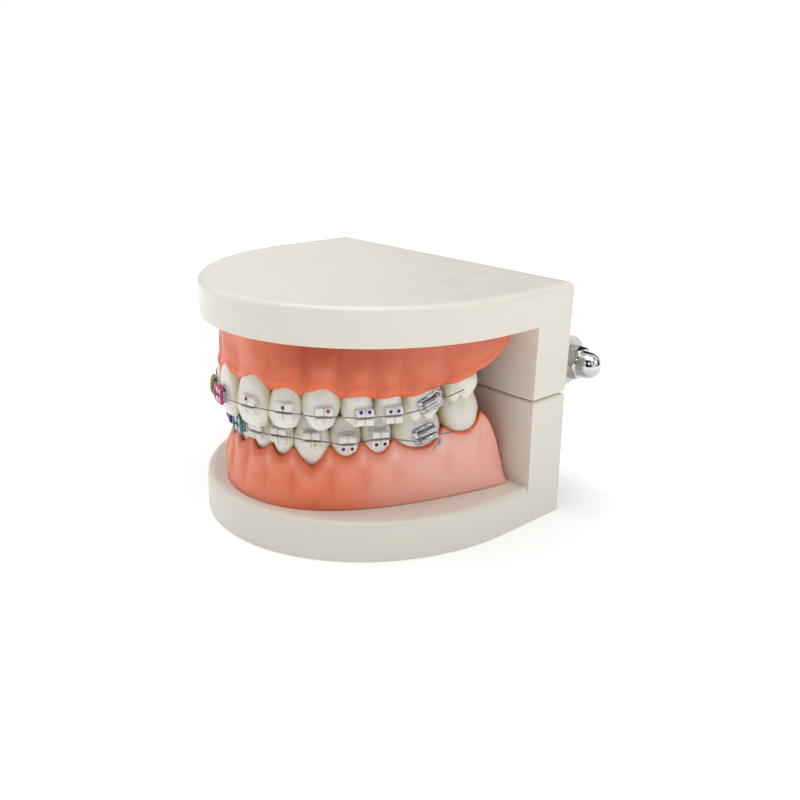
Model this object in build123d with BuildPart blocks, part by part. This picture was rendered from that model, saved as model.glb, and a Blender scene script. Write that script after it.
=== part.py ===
"""Hinged typodont: two white bases, gums, twenty-eight teeth and a fixed orthodontic appliance.

Frame: +Z up, -Y towards the front teeth, +X towards the model's own left side.
The origin is the middle of the lower base plate's underside, between its flanks and between
its front and its rear wall. Millimetres.
"""

import os
from math import cosh, radians, sinh, sqrt, tan

from build123d import *

os.makedirs("parts", exist_ok=True)

# Bases: a D-shaped plate with a wall across its rear, one for each jaw.
WIDTH = 80.0
DEPTH = 65.4
HEIGHT = 55.5
FLANK = 20.0  # straight side, measured from the rear
PLATE_LOWER = 9.0
PLATE_UPPER = 8.4
WALL = 11.5
PARTING = 29.7  # height at which the two rear walls meet
SEAM = 0.2  # gap left between the walls when the jaws are closed
DRAFT = 0.45  # how far the flanks lean in from the outer faces to the seam
RIM_ROUND = 1.6
WALL_ROUND = 0.8

# Hinge: one bolt through two upper lugs and a wide lower knuckle, with an acorn nut at each end.
AXIS_Y = DEPTH / 2 + 7.6
AXIS_Z = PARTING + 5.1
LUG_R = 6.0
LUG_OUTER_X = 34.4
LUG_THICK = 8.0
KNUCKLE_HALF = 26.0
BOLT_R = 2.0
RUNNING = 0.05  # radial clearance of the bolt in its bores
BOLT_END = 39.3
NUT_FLATS = 7.0
NUT_HEX = 3.2
NUT_NECK = 2.4
NUT_DOME_R = 3.25
NUT_TURN = 10.0  # degrees the hexagon is turned about the bolt
THREAD_GAP = 0.03
NUT_BORE = 5.4
EMBED = 0.5  # depth by which the lugs and the knuckle run into the walls
KNUCKLE_WEB = 20.0  # the knuckle's web meets the wall this far below the axis
KNUCKLE_DROP = 0.6  # step from the seam down to the knuckle's web
KNUCKLE_FLARE = 0.7  # where the web leaves the knuckle's round, as a share of its radius
LUG_STEP = 1.4
BOLT_CHAMFER = 0.4

# Arch line: a catenary, y = ARCH_FRONT + ARCH_RISE * (cosh(x / ARCH_REACH) - 1).
ARCH_FRONT = -29.5
ARCH_RISE = 5.9
ARCH_REACH = 12.0
ARCH_SPANS = 6  # spline spans on each side of a horseshoe

# Gums. Offsets are from the arch line, positive towards the lips and cheeks.
CREST_LOWER = 22.0
CREST_UPPER = 36.5
GUM_REAR_FOOT = 20.0
GUM_REAR_CREST = 14.5
LOWER_FOOT = (0.0, -15.0)
LOWER_CREST = (-1.4, -13.0)
UPPER_FOOT = (0.6, -14.0)
UPPER_CREST = (0.9, -12.0)
PALATE = 3.6
PALATE_INSET = 1.0
PEG_R = 2.5
PEG_LENGTH = 3.0
PEG_GAP = 0.1
PEG_PLACES = [(0.0, -23.0), (25.5, 8.0), (-25.5, 8.0)]

# Teeth: name, mesiodistal width, labiolingual depth, root radius.
UPPER_TEETH = [
    ("central_incisor", 9.2, 7.0, 1.7),
    ("lateral_incisor", 7.2, 6.2, 1.5),
    ("canine", 8.1, 7.6, 1.8),
    ("first_premolar", 7.2, 8.8, 1.8),
    ("second_premolar", 6.4, 8.8, 1.7),
    ("first_molar", 9.4, 10.4, 2.6),
    ("second_molar", 8.7, 10.0, 2.5),
]
LOWER_TEETH = [
    ("central_incisor", 5.9, 5.8, 1.3),
    ("lateral_incisor", 5.4, 6.0, 1.3),
    ("canine", 7.8, 7.4, 1.7),
    ("first_premolar", 6.9, 7.8, 1.7),
    ("second_premolar", 6.8, 8.2, 1.7),
    ("first_molar", 11.9, 9.8, 2.6),
    ("second_molar", 9.7, 9.6, 2.5),
]
UPPER_PITCH_LINE = 0.6  # offset at which the tooth widths are measured
LOWER_PITCH_LINE = -3.0
UPPER_FACE = 2.0  # offset of the lip or cheek side of the crowns
LOWER_FACE = -1.7
UPPER_WAIST = 31.2  # height of the widest section
LOWER_WAIST = 26.2
UPPER_TIP = 27.6
LOWER_TIP = 29.8
CHEEK_TIP = 28.2  # cheek cusps of the upper back teeth
SECOND_MOLAR_LIFT = 3.4
BITE_SLOPE = 18.0
BITE_GAP = 0.55
TOOTH_GAP = 0.3
ROOT_LENGTH = 6.0
ROOT_GAP = 0.05
ANTERIORS = 3
CANINE = 2
FIRST_MOLAR = 5  # the teeth in front of it carry brackets
POSTERIOR_ROUND = 0.3  # corner radius of a molar, as a share of its width
WAIST_LIFT = 0.8  # share of the second molar's lift by which its widest section rises
# Crown shapes, as shares of a tooth's full width and depth.
NECK_WIDTH = 0.8
NECK_DEPTH = 0.84
BACK_WAIST = (1.0, 1.0)
BACK_TIP = (0.94, 0.9)
FRONT_WAIST = (1.0, 0.62)
INCISOR_TIP = (0.92, 0.24)
CANINE_TIP = (0.5, 0.24)
NECK_SET_BACK = 0.8  # the neck lies this far inside the crown's face
LOWER_TIP_IN = 0.6  # lower tips lie this far inside the crown's face

# Appliance. Its local frame is x along the arch, y up, z away from the tooth.
UPPER_WIRE = (32.1, 32.1, 31.6, 31.1, 31.2)  # slot heights, from the midline back
LOWER_WIRE = (24.9, 25.2, 24.9, 24.2, 24.9)
UPPER_TUBE_Z = 32.8
LOWER_TUBE_Z = 24.6
BOND = 0.05
PAD = (4.2, 4.0, 0.4)
TUBE_PAD = (5.0, 3.8, 0.4)
BODY = (3.4, 3.4)
FACE_OUT = 1.7  # outer face of a bracket
SLOT = 0.56
SLOT_FLOOR = 1.0
WIRE_R = 0.2
WIRE_OUT = 1.3
NECK = (2.4, 2.3)
WING_IN = 1.1
WING_GAP = 0.7
WING_FLOOR = 1.3
RING = (4.0, 4.0, 0.5)
RING_GAP = 0.05
TUBE_R = 0.95
TUBE_BORE_R = 0.38
TUBE_LENGTH = 4.6
HOOK_R = 0.3
HOOK_STEM = 1.3
HOOK_TIP = 1.2
HOOK_INSET = 0.5  # from the tube's rear end
HOOK_SUNK = 0.1
WIRE_BEND = 1.2
WIRE_TAIL = 5.0
WIRE_SPARE = 0.3  # straight wire past each end of a slot
TAIL_IN = 0.3

REAR = DEPTH / 2
WALL_FRONT = REAR - WALL
SHOULDER = REAR - FLANK
PLATE_UNDER = HEIGHT - PLATE_UPPER


def save(piece, name):
    """Label a finished piece and write it as one STEP file."""
    piece.label = name
    export_step(piece, f"parts/{name}.step")


# ---------------------------------------------------------------- arch geometry


def arch_slope(x):
    return ARCH_RISE / ARCH_REACH * sinh(x / ARCH_REACH)


def arch_point(x, offset):
    """Point of the arch line at x, moved outwards by offset."""
    slope = arch_slope(x)
    run = sqrt(1 + slope**2)
    y = ARCH_FRONT + ARCH_RISE * (cosh(x / ARCH_REACH) - 1)
    return x + offset * slope / run, y - offset / run


def arch_station(distance, offset):
    """The x on the arch line that lies at a distance from the midline along the offset line."""
    x, gone, step = 0.0, 0.0, 0.01
    while gone < distance:
        slope = arch_slope(x)
        bend = ARCH_RISE / ARCH_REACH**2 * cosh(x / ARCH_REACH) / (1 + slope**2) ** 1.5
        gone += step * sqrt(1 + slope**2) * (1 + offset * bend)
        x += step
    return x


def tooth_plane(x, z=0.0):
    """Level plane on the arch line: x runs backwards along the arch, y points to the tongue."""
    px, py = arch_point(x, 0)
    return Plane(origin=(px, py, z), x_dir=(1, arch_slope(x), 0), z_dir=(0, 0, 1))


def face_plane(x, offset, z):
    """Upright plane facing outwards: x runs backwards along the arch, y points up."""
    px, py = arch_point(x, offset)
    return Plane(
        origin=(px, py, z), x_dir=(1, arch_slope(x), 0), z_dir=(arch_slope(x), -1, 0)
    )


def stations(teeth, pitch_line):
    """Arch station of the middle of each tooth of one side."""
    places, gone = [], 0.0
    for _, width, _, _ in teeth:
        places.append(arch_station(gone + width / 2, pitch_line))
        gone += width
    return places


UPPER_STATIONS = stations(UPPER_TEETH, UPPER_PITCH_LINE)
LOWER_STATIONS = stations(LOWER_TEETH, LOWER_PITCH_LINE)

# ---------------------------------------------------------------- bases


def base_outline(inset=0.0):
    """Straight rear and flanks, and a half-ellipse at the front."""
    half = WIDTH / 2 - inset
    nose = REAR + SHOULDER - inset
    with BuildLine() as rim:
        EllipticalCenterArc((0, SHOULDER), half, nose, start_angle=180, arc_size=180)
        Polyline((half, SHOULDER), (half, REAR), (-half, REAR), (-half, SHOULDER))
    return make_face(rim.edges())


def drafted(z_outer, z_end):
    """Plate or wall stock between two heights, leaning in towards the seam."""
    reach = abs(PARTING - z_outer)
    ends = []
    for z in (z_outer, z_end):
        with BuildSketch(Plane.XY.offset(z)) as end:
            base_outline(DRAFT * abs(z - z_outer) / reach)
        ends.append(end.sketch)
    loft(ends, ruled=True)


def front_rim(part, z):
    """Edges of a plate's front and flanks at height z."""
    level = part.edges().filter_by_position(Axis.Z, z - 0.01, z + 0.01)
    return level.filter_by(lambda edge: edge.center().Y < REAR - 0.1)


def base(z_outer, z_plate, z_seam, z_rim):
    """Plate from z_outer to z_plate with its rim rounded, and a rear wall that ends at z_seam."""
    with BuildPart() as plate:
        drafted(z_outer, z_plate)
        fillet(front_rim(plate.part, z_rim), RIM_ROUND)
    with BuildPart() as wall:
        drafted(z_outer, z_seam)
        with BuildSketch(Plane.XY.offset(min(z_outer, z_seam))):
            with Locations((0, -DEPTH / 2)):
                Rectangle(2 * WIDTH, 2 * WALL_FRONT + DEPTH)
        extrude(amount=HEIGHT, mode=Mode.SUBTRACT)
        seam_edges = wall.edges().filter_by_position(Axis.Z, z_seam - 0.01, z_seam + 0.01)
        fillet(seam_edges, WALL_ROUND)
        outer = wall.edges().filter_by_position(Axis.Z, z_outer - 0.01, z_outer + 0.01)
        if z_rim == z_outer:
            fillet(outer.filter_by(Axis.Y), RIM_ROUND)
    with BuildPart() as joined:
        add(plate.part)
        add(wall.part)
    return joined


def peg_holes(z_face, way):
    """Blind holes in a plate for the gum's three pegs."""
    with BuildSketch(Plane.XY.offset(z_face)) as holes:
        with Locations(*PEG_PLACES):
            Circle(PEG_R + PEG_GAP)
    extrude(holes.sketch, amount=way * (PEG_LENGTH + PEG_GAP), mode=Mode.SUBTRACT)


def hinge_bore():
    """The bolt's clearance bore, right through the part."""
    with BuildSketch(Plane.YZ.offset(-WIDTH / 2)) as bore:
        with Locations((AXIS_Y, AXIS_Z)):
            Circle(BOLT_R + RUNNING)
    extrude(bore.sketch, amount=WIDTH, mode=Mode.SUBTRACT)


flare = LUG_R * KNUCKLE_FLARE
lower_stock = base(0.0, PLATE_LOWER, PARTING - SEAM / 2, PLATE_LOWER)
with BuildPart() as lower_base:
    add(lower_stock.part)
    with BuildSketch(Plane.YZ.offset(-KNUCKLE_HALF)):
        with Locations((AXIS_Y, AXIS_Z)):
            Circle(LUG_R)
        with BuildLine():
            Polyline(
                (REAR - EMBED, PARTING - KNUCKLE_DROP),
                (AXIS_Y, PARTING - KNUCKLE_DROP),
                (AXIS_Y + flare, AXIS_Z - flare),
                (REAR, AXIS_Z - KNUCKLE_WEB),
                (REAR - EMBED, AXIS_Z - KNUCKLE_WEB),
                close=True,
            )
        make_face()
    extrude(amount=2 * KNUCKLE_HALF)
    hinge_bore()
    peg_holes(PLATE_LOWER, -1)
save(lower_base.part, "lower_base")

upper_stock = base(HEIGHT, PLATE_UNDER, PARTING + SEAM / 2, HEIGHT)
with BuildPart() as upper_base:
    add(upper_stock.part)
    for start in (LUG_OUTER_X - LUG_THICK, -LUG_OUTER_X):
        with BuildSketch(Plane.YZ.offset(start)):
            with Locations((AXIS_Y, AXIS_Z)):
                Circle(LUG_R)
            with BuildLine():
                Polyline(
                    (REAR - EMBED, AXIS_Z + LUG_R),
                    (AXIS_Y, AXIS_Z + LUG_R),
                    (AXIS_Y, AXIS_Z - LUG_R),
                    (REAR, AXIS_Z - LUG_R + LUG_STEP),
                    (REAR - EMBED, AXIS_Z - LUG_R + LUG_STEP),
                    close=True,
                )
            make_face()
        extrude(amount=LUG_THICK)
    hinge_bore()
    peg_holes(PLATE_UNDER, 1)
save(upper_base.part, "upper_base")

# ---------------------------------------------------------------- hinge bolt and nuts

with BuildPart() as hinge_bolt:
    with BuildSketch(Plane.YZ.offset(-BOLT_END)):
        with Locations((AXIS_Y, AXIS_Z)):
            Circle(BOLT_R)
    extrude(amount=2 * BOLT_END)
    chamfer(hinge_bolt.edges().filter_by(GeomType.CIRCLE), BOLT_CHAMFER)
save(hinge_bolt.part, "hinge_bolt")

with BuildPart() as left_nut:
    with BuildSketch(Plane.YZ.offset(LUG_OUTER_X)):
        with Locations(Location((AXIS_Y, AXIS_Z), NUT_TURN)):
            RegularPolygon(NUT_FLATS / 2, 6, major_radius=False)
    extrude(amount=NUT_HEX)
    neck_end = LUG_OUTER_X + NUT_HEX + NUT_NECK
    with BuildSketch(Plane.XY.offset(AXIS_Z)):
        with BuildLine():
            Line((LUG_OUTER_X, AXIS_Y), (LUG_OUTER_X, AXIS_Y + NUT_DOME_R))
            Line((LUG_OUTER_X, AXIS_Y + NUT_DOME_R), (neck_end, AXIS_Y + NUT_DOME_R))
            CenterArc((neck_end, AXIS_Y), NUT_DOME_R, 0, 90)
            Line((neck_end + NUT_DOME_R, AXIS_Y), (LUG_OUTER_X, AXIS_Y))
        make_face()
    revolve(axis=Axis((0, AXIS_Y, AXIS_Z), (1, 0, 0)))
    with BuildSketch(Plane.YZ.offset(LUG_OUTER_X)):
        with Locations((AXIS_Y, AXIS_Z)):
            Circle(BOLT_R + THREAD_GAP)
    extrude(amount=NUT_BORE, mode=Mode.SUBTRACT)
with BuildPart() as acorn_nuts:
    add(left_nut.part)
    mirror(left_nut.part, about=Plane.YZ)
save(acorn_nuts.part, "acorn_nuts")

# ---------------------------------------------------------------- gums


def rear_station(offset, y_rear):
    """Station at which the line moved out by offset reaches y_rear."""
    x = ARCH_REACH
    while arch_point(x, offset)[1] < y_rear:
        x += 0.02
    return x


def horseshoe(offsets, y_rear):
    """Horseshoe between an outer and an inner line, cut square at the rear."""
    sides = []
    for offset in offsets:
        last = rear_station(offset, y_rear)
        half = [arch_point(last * i / ARCH_SPANS, offset) for i in range(ARCH_SPANS + 1)]
        sides.append([(-x, y) for x, y in half[:0:-1]] + half)
    outer, inner = sides
    with BuildLine() as rim:
        Spline(*outer)
        Line(outer[-1], inner[-1])
        Spline(*inner)
        Line(inner[0], outer[0])
    return make_face(rim.edges())


def gum(z_foot, z_crest, foot, crest, teeth, places, faces):
    """Ridge from a plate to its crest, with three pegs at the foot and a socket for each root."""
    way = 1 if z_crest > z_foot else -1
    with BuildPart() as ridge:
        with BuildSketch(Plane.XY.offset(z_foot)):
            horseshoe(foot, GUM_REAR_FOOT)
        with BuildSketch(Plane.XY.offset(z_crest)):
            horseshoe(crest, GUM_REAR_CREST)
        loft(ruled=True)
        with BuildSketch(Plane.XY.offset(z_foot)):
            with Locations(*PEG_PLACES):
                Circle(PEG_R)
        extrude(amount=-way * PEG_LENGTH)
        for (_, _, depth, root_r), x in zip(teeth, places):
            for side in (1, -1):
                px, py = arch_point(x, root_offset(depth, faces))
                with BuildSketch(Plane.XY.offset(z_crest)):
                    with Locations((side * px, py)):
                        Circle(root_r + ROOT_GAP)
                extrude(amount=-way * (ROOT_LENGTH + ROOT_GAP), mode=Mode.SUBTRACT)
    return ridge


def root_offset(depth, face):
    """Offset of a root's centre: the middle of the crown's neck."""
    return face - NECK_SET_BACK - NECK_DEPTH * depth / 2


lower_gum = gum(
    PLATE_LOWER, CREST_LOWER, LOWER_FOOT, LOWER_CREST, LOWER_TEETH, LOWER_STATIONS, LOWER_FACE
)
save(lower_gum.part, "lower_gum")

upper_ridge = gum(
    PLATE_UNDER, CREST_UPPER, UPPER_FOOT, UPPER_CREST, UPPER_TEETH, UPPER_STATIONS, UPPER_FACE
)
with BuildPart() as upper_gum:
    add(upper_ridge.part)
    with BuildSketch(Plane.XY.offset(PLATE_UNDER)):
        edge = UPPER_FOOT[1] + PALATE_INSET
        last = rear_station(edge, GUM_REAR_FOOT - PALATE_INSET)
        half = [arch_point(last * i / ARCH_SPANS, edge) for i in range(ARCH_SPANS + 1)]
        rim = [(-x, y) for x, y in half[:0:-1]] + half
        with BuildLine():
            Spline(*rim)
            Line(rim[-1], rim[0])
        make_face()
    extrude(amount=-PALATE)
save(upper_gum.part, "upper_gum")

# ---------------------------------------------------------------- teeth


def section(plane, width, depth, face, round_share):
    """One level section of a crown, with its outer side at the offset face."""
    with BuildSketch(plane) as outline:
        with Locations((0, depth / 2 - face)):
            if round_share:
                RectangleRounded(width, depth, round_share * min(width, depth))
            else:
                Ellipse(width / 2, depth / 2)
    return outline.sketch


def tooth(x, kind, width, depth, root_r, crest, waist, tip, face, way):
    """Crown and root of a left tooth. The way is -1 for an upper tooth and 1 for a lower one."""
    back_tooth = kind >= ANTERIORS
    wide = width - TOOTH_GAP
    if back_tooth:
        end_shape = BACK_TIP
        waist_shape = BACK_WAIST
        rise = tan(radians(BITE_SLOPE)) * (depth + UPPER_FACE - face)
        reach = tip if way < 0 else tip + rise
    else:
        end_shape = CANINE_TIP if kind == CANINE else INCISOR_TIP
        waist_shape = FRONT_WAIST
        reach = tip
    round_share = POSTERIOR_ROUND if kind >= FIRST_MOLAR else 0
    with BuildPart() as made:
        neck_face = face - NECK_SET_BACK
        levels = (
            (crest, NECK_WIDTH, NECK_DEPTH, neck_face),
            (waist, *waist_shape, face),
            (reach, *end_shape, face - (0 if way < 0 else LOWER_TIP_IN)),
        )
        sections = [
            section(tooth_plane(x, z), across * wide, through * depth, side, round_share)
            for z, across, through, side in levels
        ]
        loft(sections, ruled=True)
        if back_tooth:
            px, py = arch_point(x, UPPER_FACE)
            slope = arch_slope(x)
            lean = tan(radians(BITE_SLOPE)) / sqrt(1 + slope**2)
            lift = tip if way < 0 else tip - BITE_GAP
            bite = Plane(origin=(px, py, lift), z_dir=(slope * lean, -lean, 1))
            split(bisect_by=bite, keep=Keep.TOP if way < 0 else Keep.BOTTOM)
        with BuildSketch(tooth_plane(x, crest)):
            with Locations((0, -root_offset(depth, face))):
                Circle(root_r)
        extrude(amount=-way * ROOT_LENGTH)
    return made


JAWS = (
    ("upper", UPPER_TEETH, UPPER_STATIONS, CREST_UPPER, UPPER_WAIST, UPPER_TIP, UPPER_FACE, -1),
    ("lower", LOWER_TEETH, LOWER_STATIONS, CREST_LOWER, LOWER_WAIST, LOWER_TIP, LOWER_FACE, 1),
)
for jaw, teeth, places, crest, waist, tip, face, way in JAWS:
    for kind, ((name, width, depth, root_r), x) in enumerate(zip(teeth, places)):
        second_molar = kind == len(teeth) - 1
        level = CHEEK_TIP if kind >= ANTERIORS else tip
        lift = SECOND_MOLAR_LIFT if second_molar else 0
        mid = waist + (lift * WAIST_LIFT if way < 0 else 0)
        left = tooth(x, kind, width, depth, root_r, crest, mid, level + lift, face, way)
        save(left.part, f"{jaw}_left_{name}")
        with BuildPart() as right:
            mirror(left.part, about=Plane.YZ)
        save(right.part, f"{jaw}_right_{name}")

# ---------------------------------------------------------------- orthodontic appliance

APPLIANCE = (
    ("upper", UPPER_STATIONS, UPPER_FACE, UPPER_WIRE, UPPER_TUBE_Z, 1),
    ("lower", LOWER_STATIONS, LOWER_FACE, LOWER_WIRE, LOWER_TUBE_Z, -1),
)
RING_NAMES = [name for name, _, _, _ in UPPER_TEETH[:FIRST_MOLAR]]


def slab(plane, size, start, end, mode=Mode.ADD):
    """Block on a face plane between two distances from the tooth."""
    with BuildSketch(plane.offset(start)) as outline:
        Rectangle(*size)
    extrude(outline.sketch, amount=end - start, mode=mode)


def ceramic_bracket(plane):
    """Solid ceramic bracket with one horizontal slot."""
    with BuildPart() as made:
        slab(plane, PAD[:2], 0, PAD[2])
        slab(plane, BODY, PAD[2], FACE_OUT)
        slab(plane, (2 * BODY[0], SLOT), SLOT_FLOOR, 2 * FACE_OUT, Mode.SUBTRACT)
    return made


def metal_bracket(plane):
    """Twin bracket: pad, neck, and four wings parted by the slot and a middle gap."""
    with BuildPart() as made:
        slab(plane, PAD[:2], 0, PAD[2])
        slab(plane, NECK, PAD[2], WING_IN)
        slab(plane, BODY, WING_IN, FACE_OUT)
        slab(plane, (WING_GAP, 2 * BODY[1]), WING_FLOOR, 2 * FACE_OUT, Mode.SUBTRACT)
        slab(plane, (2 * BODY[0], SLOT), SLOT_FLOOR, 2 * FACE_OUT, Mode.SUBTRACT)
    return made


def ligature(plane):
    """Elastic ring around a metal bracket's neck, behind the wings."""
    with BuildPart() as made:
        start = PAD[2] + RING_GAP
        with BuildSketch(plane.offset(start)):
            RectangleRounded(RING[0], RING[1], RING[1] / 3)
            Rectangle(NECK[0] + 2 * RING_GAP, NECK[1] + 2 * RING_GAP, mode=Mode.SUBTRACT)
        extrude(amount=RING[2])
    return made


def molar_tube(plane, hook_way):
    """Buccal tube on a pad, with a small hook towards the gum."""
    with BuildPart() as made:
        slab(plane, TUBE_PAD[:2], 0, TUBE_PAD[2])
        slab(plane, (TUBE_LENGTH, 2 * TUBE_R), TUBE_PAD[2], WIRE_OUT)
        start = plane.offset(WIRE_OUT).location * Pos(-TUBE_LENGTH / 2, 0, 0)
        across = Plane(origin=start.position, z_dir=plane.x_dir, x_dir=plane.y_dir)
        with BuildSketch(across):
            Circle(TUBE_R)
        extrude(amount=TUBE_LENGTH)
        with BuildSketch(across):
            Circle(TUBE_BORE_R)
        extrude(amount=TUBE_LENGTH, mode=Mode.SUBTRACT)
        foot = plane.offset(WIRE_OUT).location * Pos(TUBE_LENGTH / 2 - HOOK_INSET, 0, 0)
        stem = Plane(
            origin=foot.position + plane.y_dir * hook_way * (TUBE_R - HOOK_SUNK),
            z_dir=plane.y_dir * hook_way,
            x_dir=plane.x_dir,
        )
        with BuildSketch(stem):
            Circle(HOOK_R)
        extrude(amount=HOOK_STEM)
        knob = stem.origin + stem.z_dir * HOOK_STEM
        with BuildSketch(Plane(origin=knob, z_dir=-plane.x_dir)):
            Circle(HOOK_R)
        extrude(amount=HOOK_TIP)
        with Locations(knob):
            Sphere(HOOK_R)
    return made


for jaw, places, face, wire, tube_z, hook_way in APPLIANCE:
    planes = [face_plane(x, face + BOND, z) for x, z in zip(places, wire)]
    with BuildPart() as ceramic:
        for plane in planes:
            add(ceramic_bracket(plane).part)
    save(ceramic.part, f"{jaw}_ceramic_brackets")
    with BuildPart() as metal:
        for plane in planes:
            mirror(metal_bracket(plane).part, about=Plane.YZ)
    save(metal.part, f"{jaw}_metal_brackets")
    for name, plane in zip(RING_NAMES, planes):
        with BuildPart() as ring:
            mirror(ligature(plane).part, about=Plane.YZ)
        save(ring.part, f"{jaw}_ligature_{name}")
    tube_plane = face_plane(places[FIRST_MOLAR], face + BOND, tube_z)
    left_tube = molar_tube(tube_plane, hook_way)
    with BuildPart() as tubes:
        add(left_tube.part)
        mirror(left_tube.part, about=Plane.YZ)
    save(tubes.part, f"{jaw}_molar_tubes")

    half = []
    for plane in planes + [tube_plane]:
        reach = (TUBE_LENGTH if plane is tube_plane else BODY[0]) / 2 + WIRE_SPARE
        middle = plane.offset(WIRE_OUT).origin
        half += [middle - plane.x_dir * reach, middle + plane.x_dir * reach]
    half.append(half[-1] + tube_plane.x_dir * WIRE_TAIL + tube_plane.z_dir * -TAIL_IN)
    other = [Vector(-p.X, p.Y, p.Z) for p in reversed(half)]
    with BuildPart() as archwire:
        with BuildLine() as route:
            FilletPolyline(*other, *half, radius=WIRE_BEND)
        with BuildSketch(Plane(origin=route.line @ 0, z_dir=route.line % 0)):
            Circle(WIRE_R)
        sweep(path=route.line)
    save(archwire.part, f"{jaw}_archwire")
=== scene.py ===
"""Looks of the hinged typodont: sculpted teeth, gums and orthodontic appliance on the CAD frame.

Shapes are worked out in millimetres, in the CAD frame: +Z up, -Y towards the front teeth and +X
towards the model's own left side. They become metres when a mesh is made.
"""

import random
from collections import namedtuple
from math import cos, pi, radians, sin
from types import SimpleNamespace as Jaw

import bmesh
import bpy
import numpy as np
from mathutils import Matrix, Vector, noise


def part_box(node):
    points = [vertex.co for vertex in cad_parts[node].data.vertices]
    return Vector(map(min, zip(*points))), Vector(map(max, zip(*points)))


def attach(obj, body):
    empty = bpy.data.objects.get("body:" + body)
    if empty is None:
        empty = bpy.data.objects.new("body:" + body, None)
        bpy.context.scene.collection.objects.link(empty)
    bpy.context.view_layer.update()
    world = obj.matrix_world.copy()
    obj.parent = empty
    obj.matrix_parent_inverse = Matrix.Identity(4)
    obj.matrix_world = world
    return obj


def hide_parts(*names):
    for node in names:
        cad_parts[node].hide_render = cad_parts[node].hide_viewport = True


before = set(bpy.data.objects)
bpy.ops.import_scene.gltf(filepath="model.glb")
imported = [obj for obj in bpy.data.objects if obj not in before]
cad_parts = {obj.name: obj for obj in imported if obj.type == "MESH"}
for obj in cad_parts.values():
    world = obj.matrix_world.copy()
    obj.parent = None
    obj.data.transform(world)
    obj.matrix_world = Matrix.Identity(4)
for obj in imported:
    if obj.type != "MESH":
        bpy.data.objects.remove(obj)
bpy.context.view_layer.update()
MM = 0.001
MIRROR = (-1, 1, 1)  # left to right
rng = random.Random(7)

# ---------------------------------------------------------------- sizes, in millimetres

UPPER_PLATE = 8.4  # thickness
PLATE_LOWER = 9.0  # the lower plate's top
PLATE_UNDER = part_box("upper_base")[1][2] / MM - UPPER_PLATE

# Arch line of the CAD model: y = ARCH_FRONT + ARCH_RISE * (cosh(x / ARCH_REACH) - 1).
ARCH_FRONT = -29.5
ARCH_RISE = 5.9
ARCH_REACH = 12.0

# Jaws. Offsets are from the arch line, positive towards the lips and cheeks.
#   way: +1 where the teeth point up, -1 where they point down
#   pitch: the offset along which the teeth's widths are laid out
#   face: offset of the crowns' outer faces
#   foot_z, rear: the plate face that the gum stands on, and the y at which the gum ends
#   foot, belly, margin: the gum's outer and inner offset at the plate and halfway, and that of its
#     outer margin at a root and between two
#   teeth: power is that of the scallop in the gum, root is how far the root stands out there
#   papillae: heights of the gum's points between the teeth, from the midline back
#   lean: how far behind a tooth's middle its scallop peaks, as a share of half its width
#   swell, valley, crease, highlight: size of the root bulges, shape of the dips between them, size
#       of
#     the folds at the papillae, which also get painted highlight, and how strong the painted
#     highlight on the bulges' tops is
#   shade, sheen: share of painted shade (darker gum) and of painted sheen (paler gum), at
#       distances
#     from the midline
#   slots, shifts: height of each bracket's slot, and how far it sits behind its tooth's middle
#   tube, tube_tilt, tube_shift: the same for the molar tube, with its tilt in degrees
#   bore, tail: where the wire enters the tube, and the length and rise of its end behind the tube
Tooth = namedtuple("Tooth", "name width depth gum_line tip power root")
UPPER = Jaw(
    name="upper",
    body="upper_jaw",
    way=-1,
    pitch=0.6,
    swell=0.65,
    crease=0.1,
    ridge=0.2,
    valley=2.0,
    face=2.0,
    foot_z=PLATE_UNDER,
    foot=(0.6, -14.0),
    belly=(0.25, -13.6),
    margin=(1.25, 0.3),
    rear=20.0,
    teeth=[
        Tooth("central_incisor", 9.2, 7.0, 38.8, 27.4, 1.5, 0.55),
        Tooth("lateral_incisor", 7.2, 6.2, 37.2, 28.2, 1.6, 0.4),
        Tooth("canine", 8.1, 7.6, 37.4, 28.0, 2.0, 0.8),
        Tooth("first_premolar", 7.2, 8.8, 35.7, 28.3, 2.0, 0.5),
        Tooth("second_premolar", 6.4, 8.8, 35.15, 28.8, 2.0, 0.45),
        Tooth("first_molar", 9.4, 10.4, 35.9, 28.7, 1.4, 0.4),
        Tooth("second_molar", 8.7, 10.0, 37.6, 32.1, 1.2, 0.35),
    ],
    papillae=(36.2, 35.7, 35.0, 34.7, 34.4, 34.2, 36.1, 38.3),
    lean=0.2,
    slots=(32.1, 32.1, 31.6, 31.1, 31.2),
    shifts=(0.7, 0.6, 0.9, 1.3, 0.5),
    right_slots=(31.7, 31.5, 31.5, 31.1, 31.2),
    right_shifts=(0.1, -0.3, 0.9, 1.3, 0.5),
    tube=32.8,
    tube_tilt=22.0,
    tube_shift=0.7,
    bore=0.0,
    tail=(5.6, -1.0),
    shade=((0, 0.15), (9, 0.55), (18, 0.95), (30, 0.9), (44, 0.65)),
    pale=((0, 0.25), (8, 0.06), (18, 0.0), (30, 0.05), (44, 0.1)),
)
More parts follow.
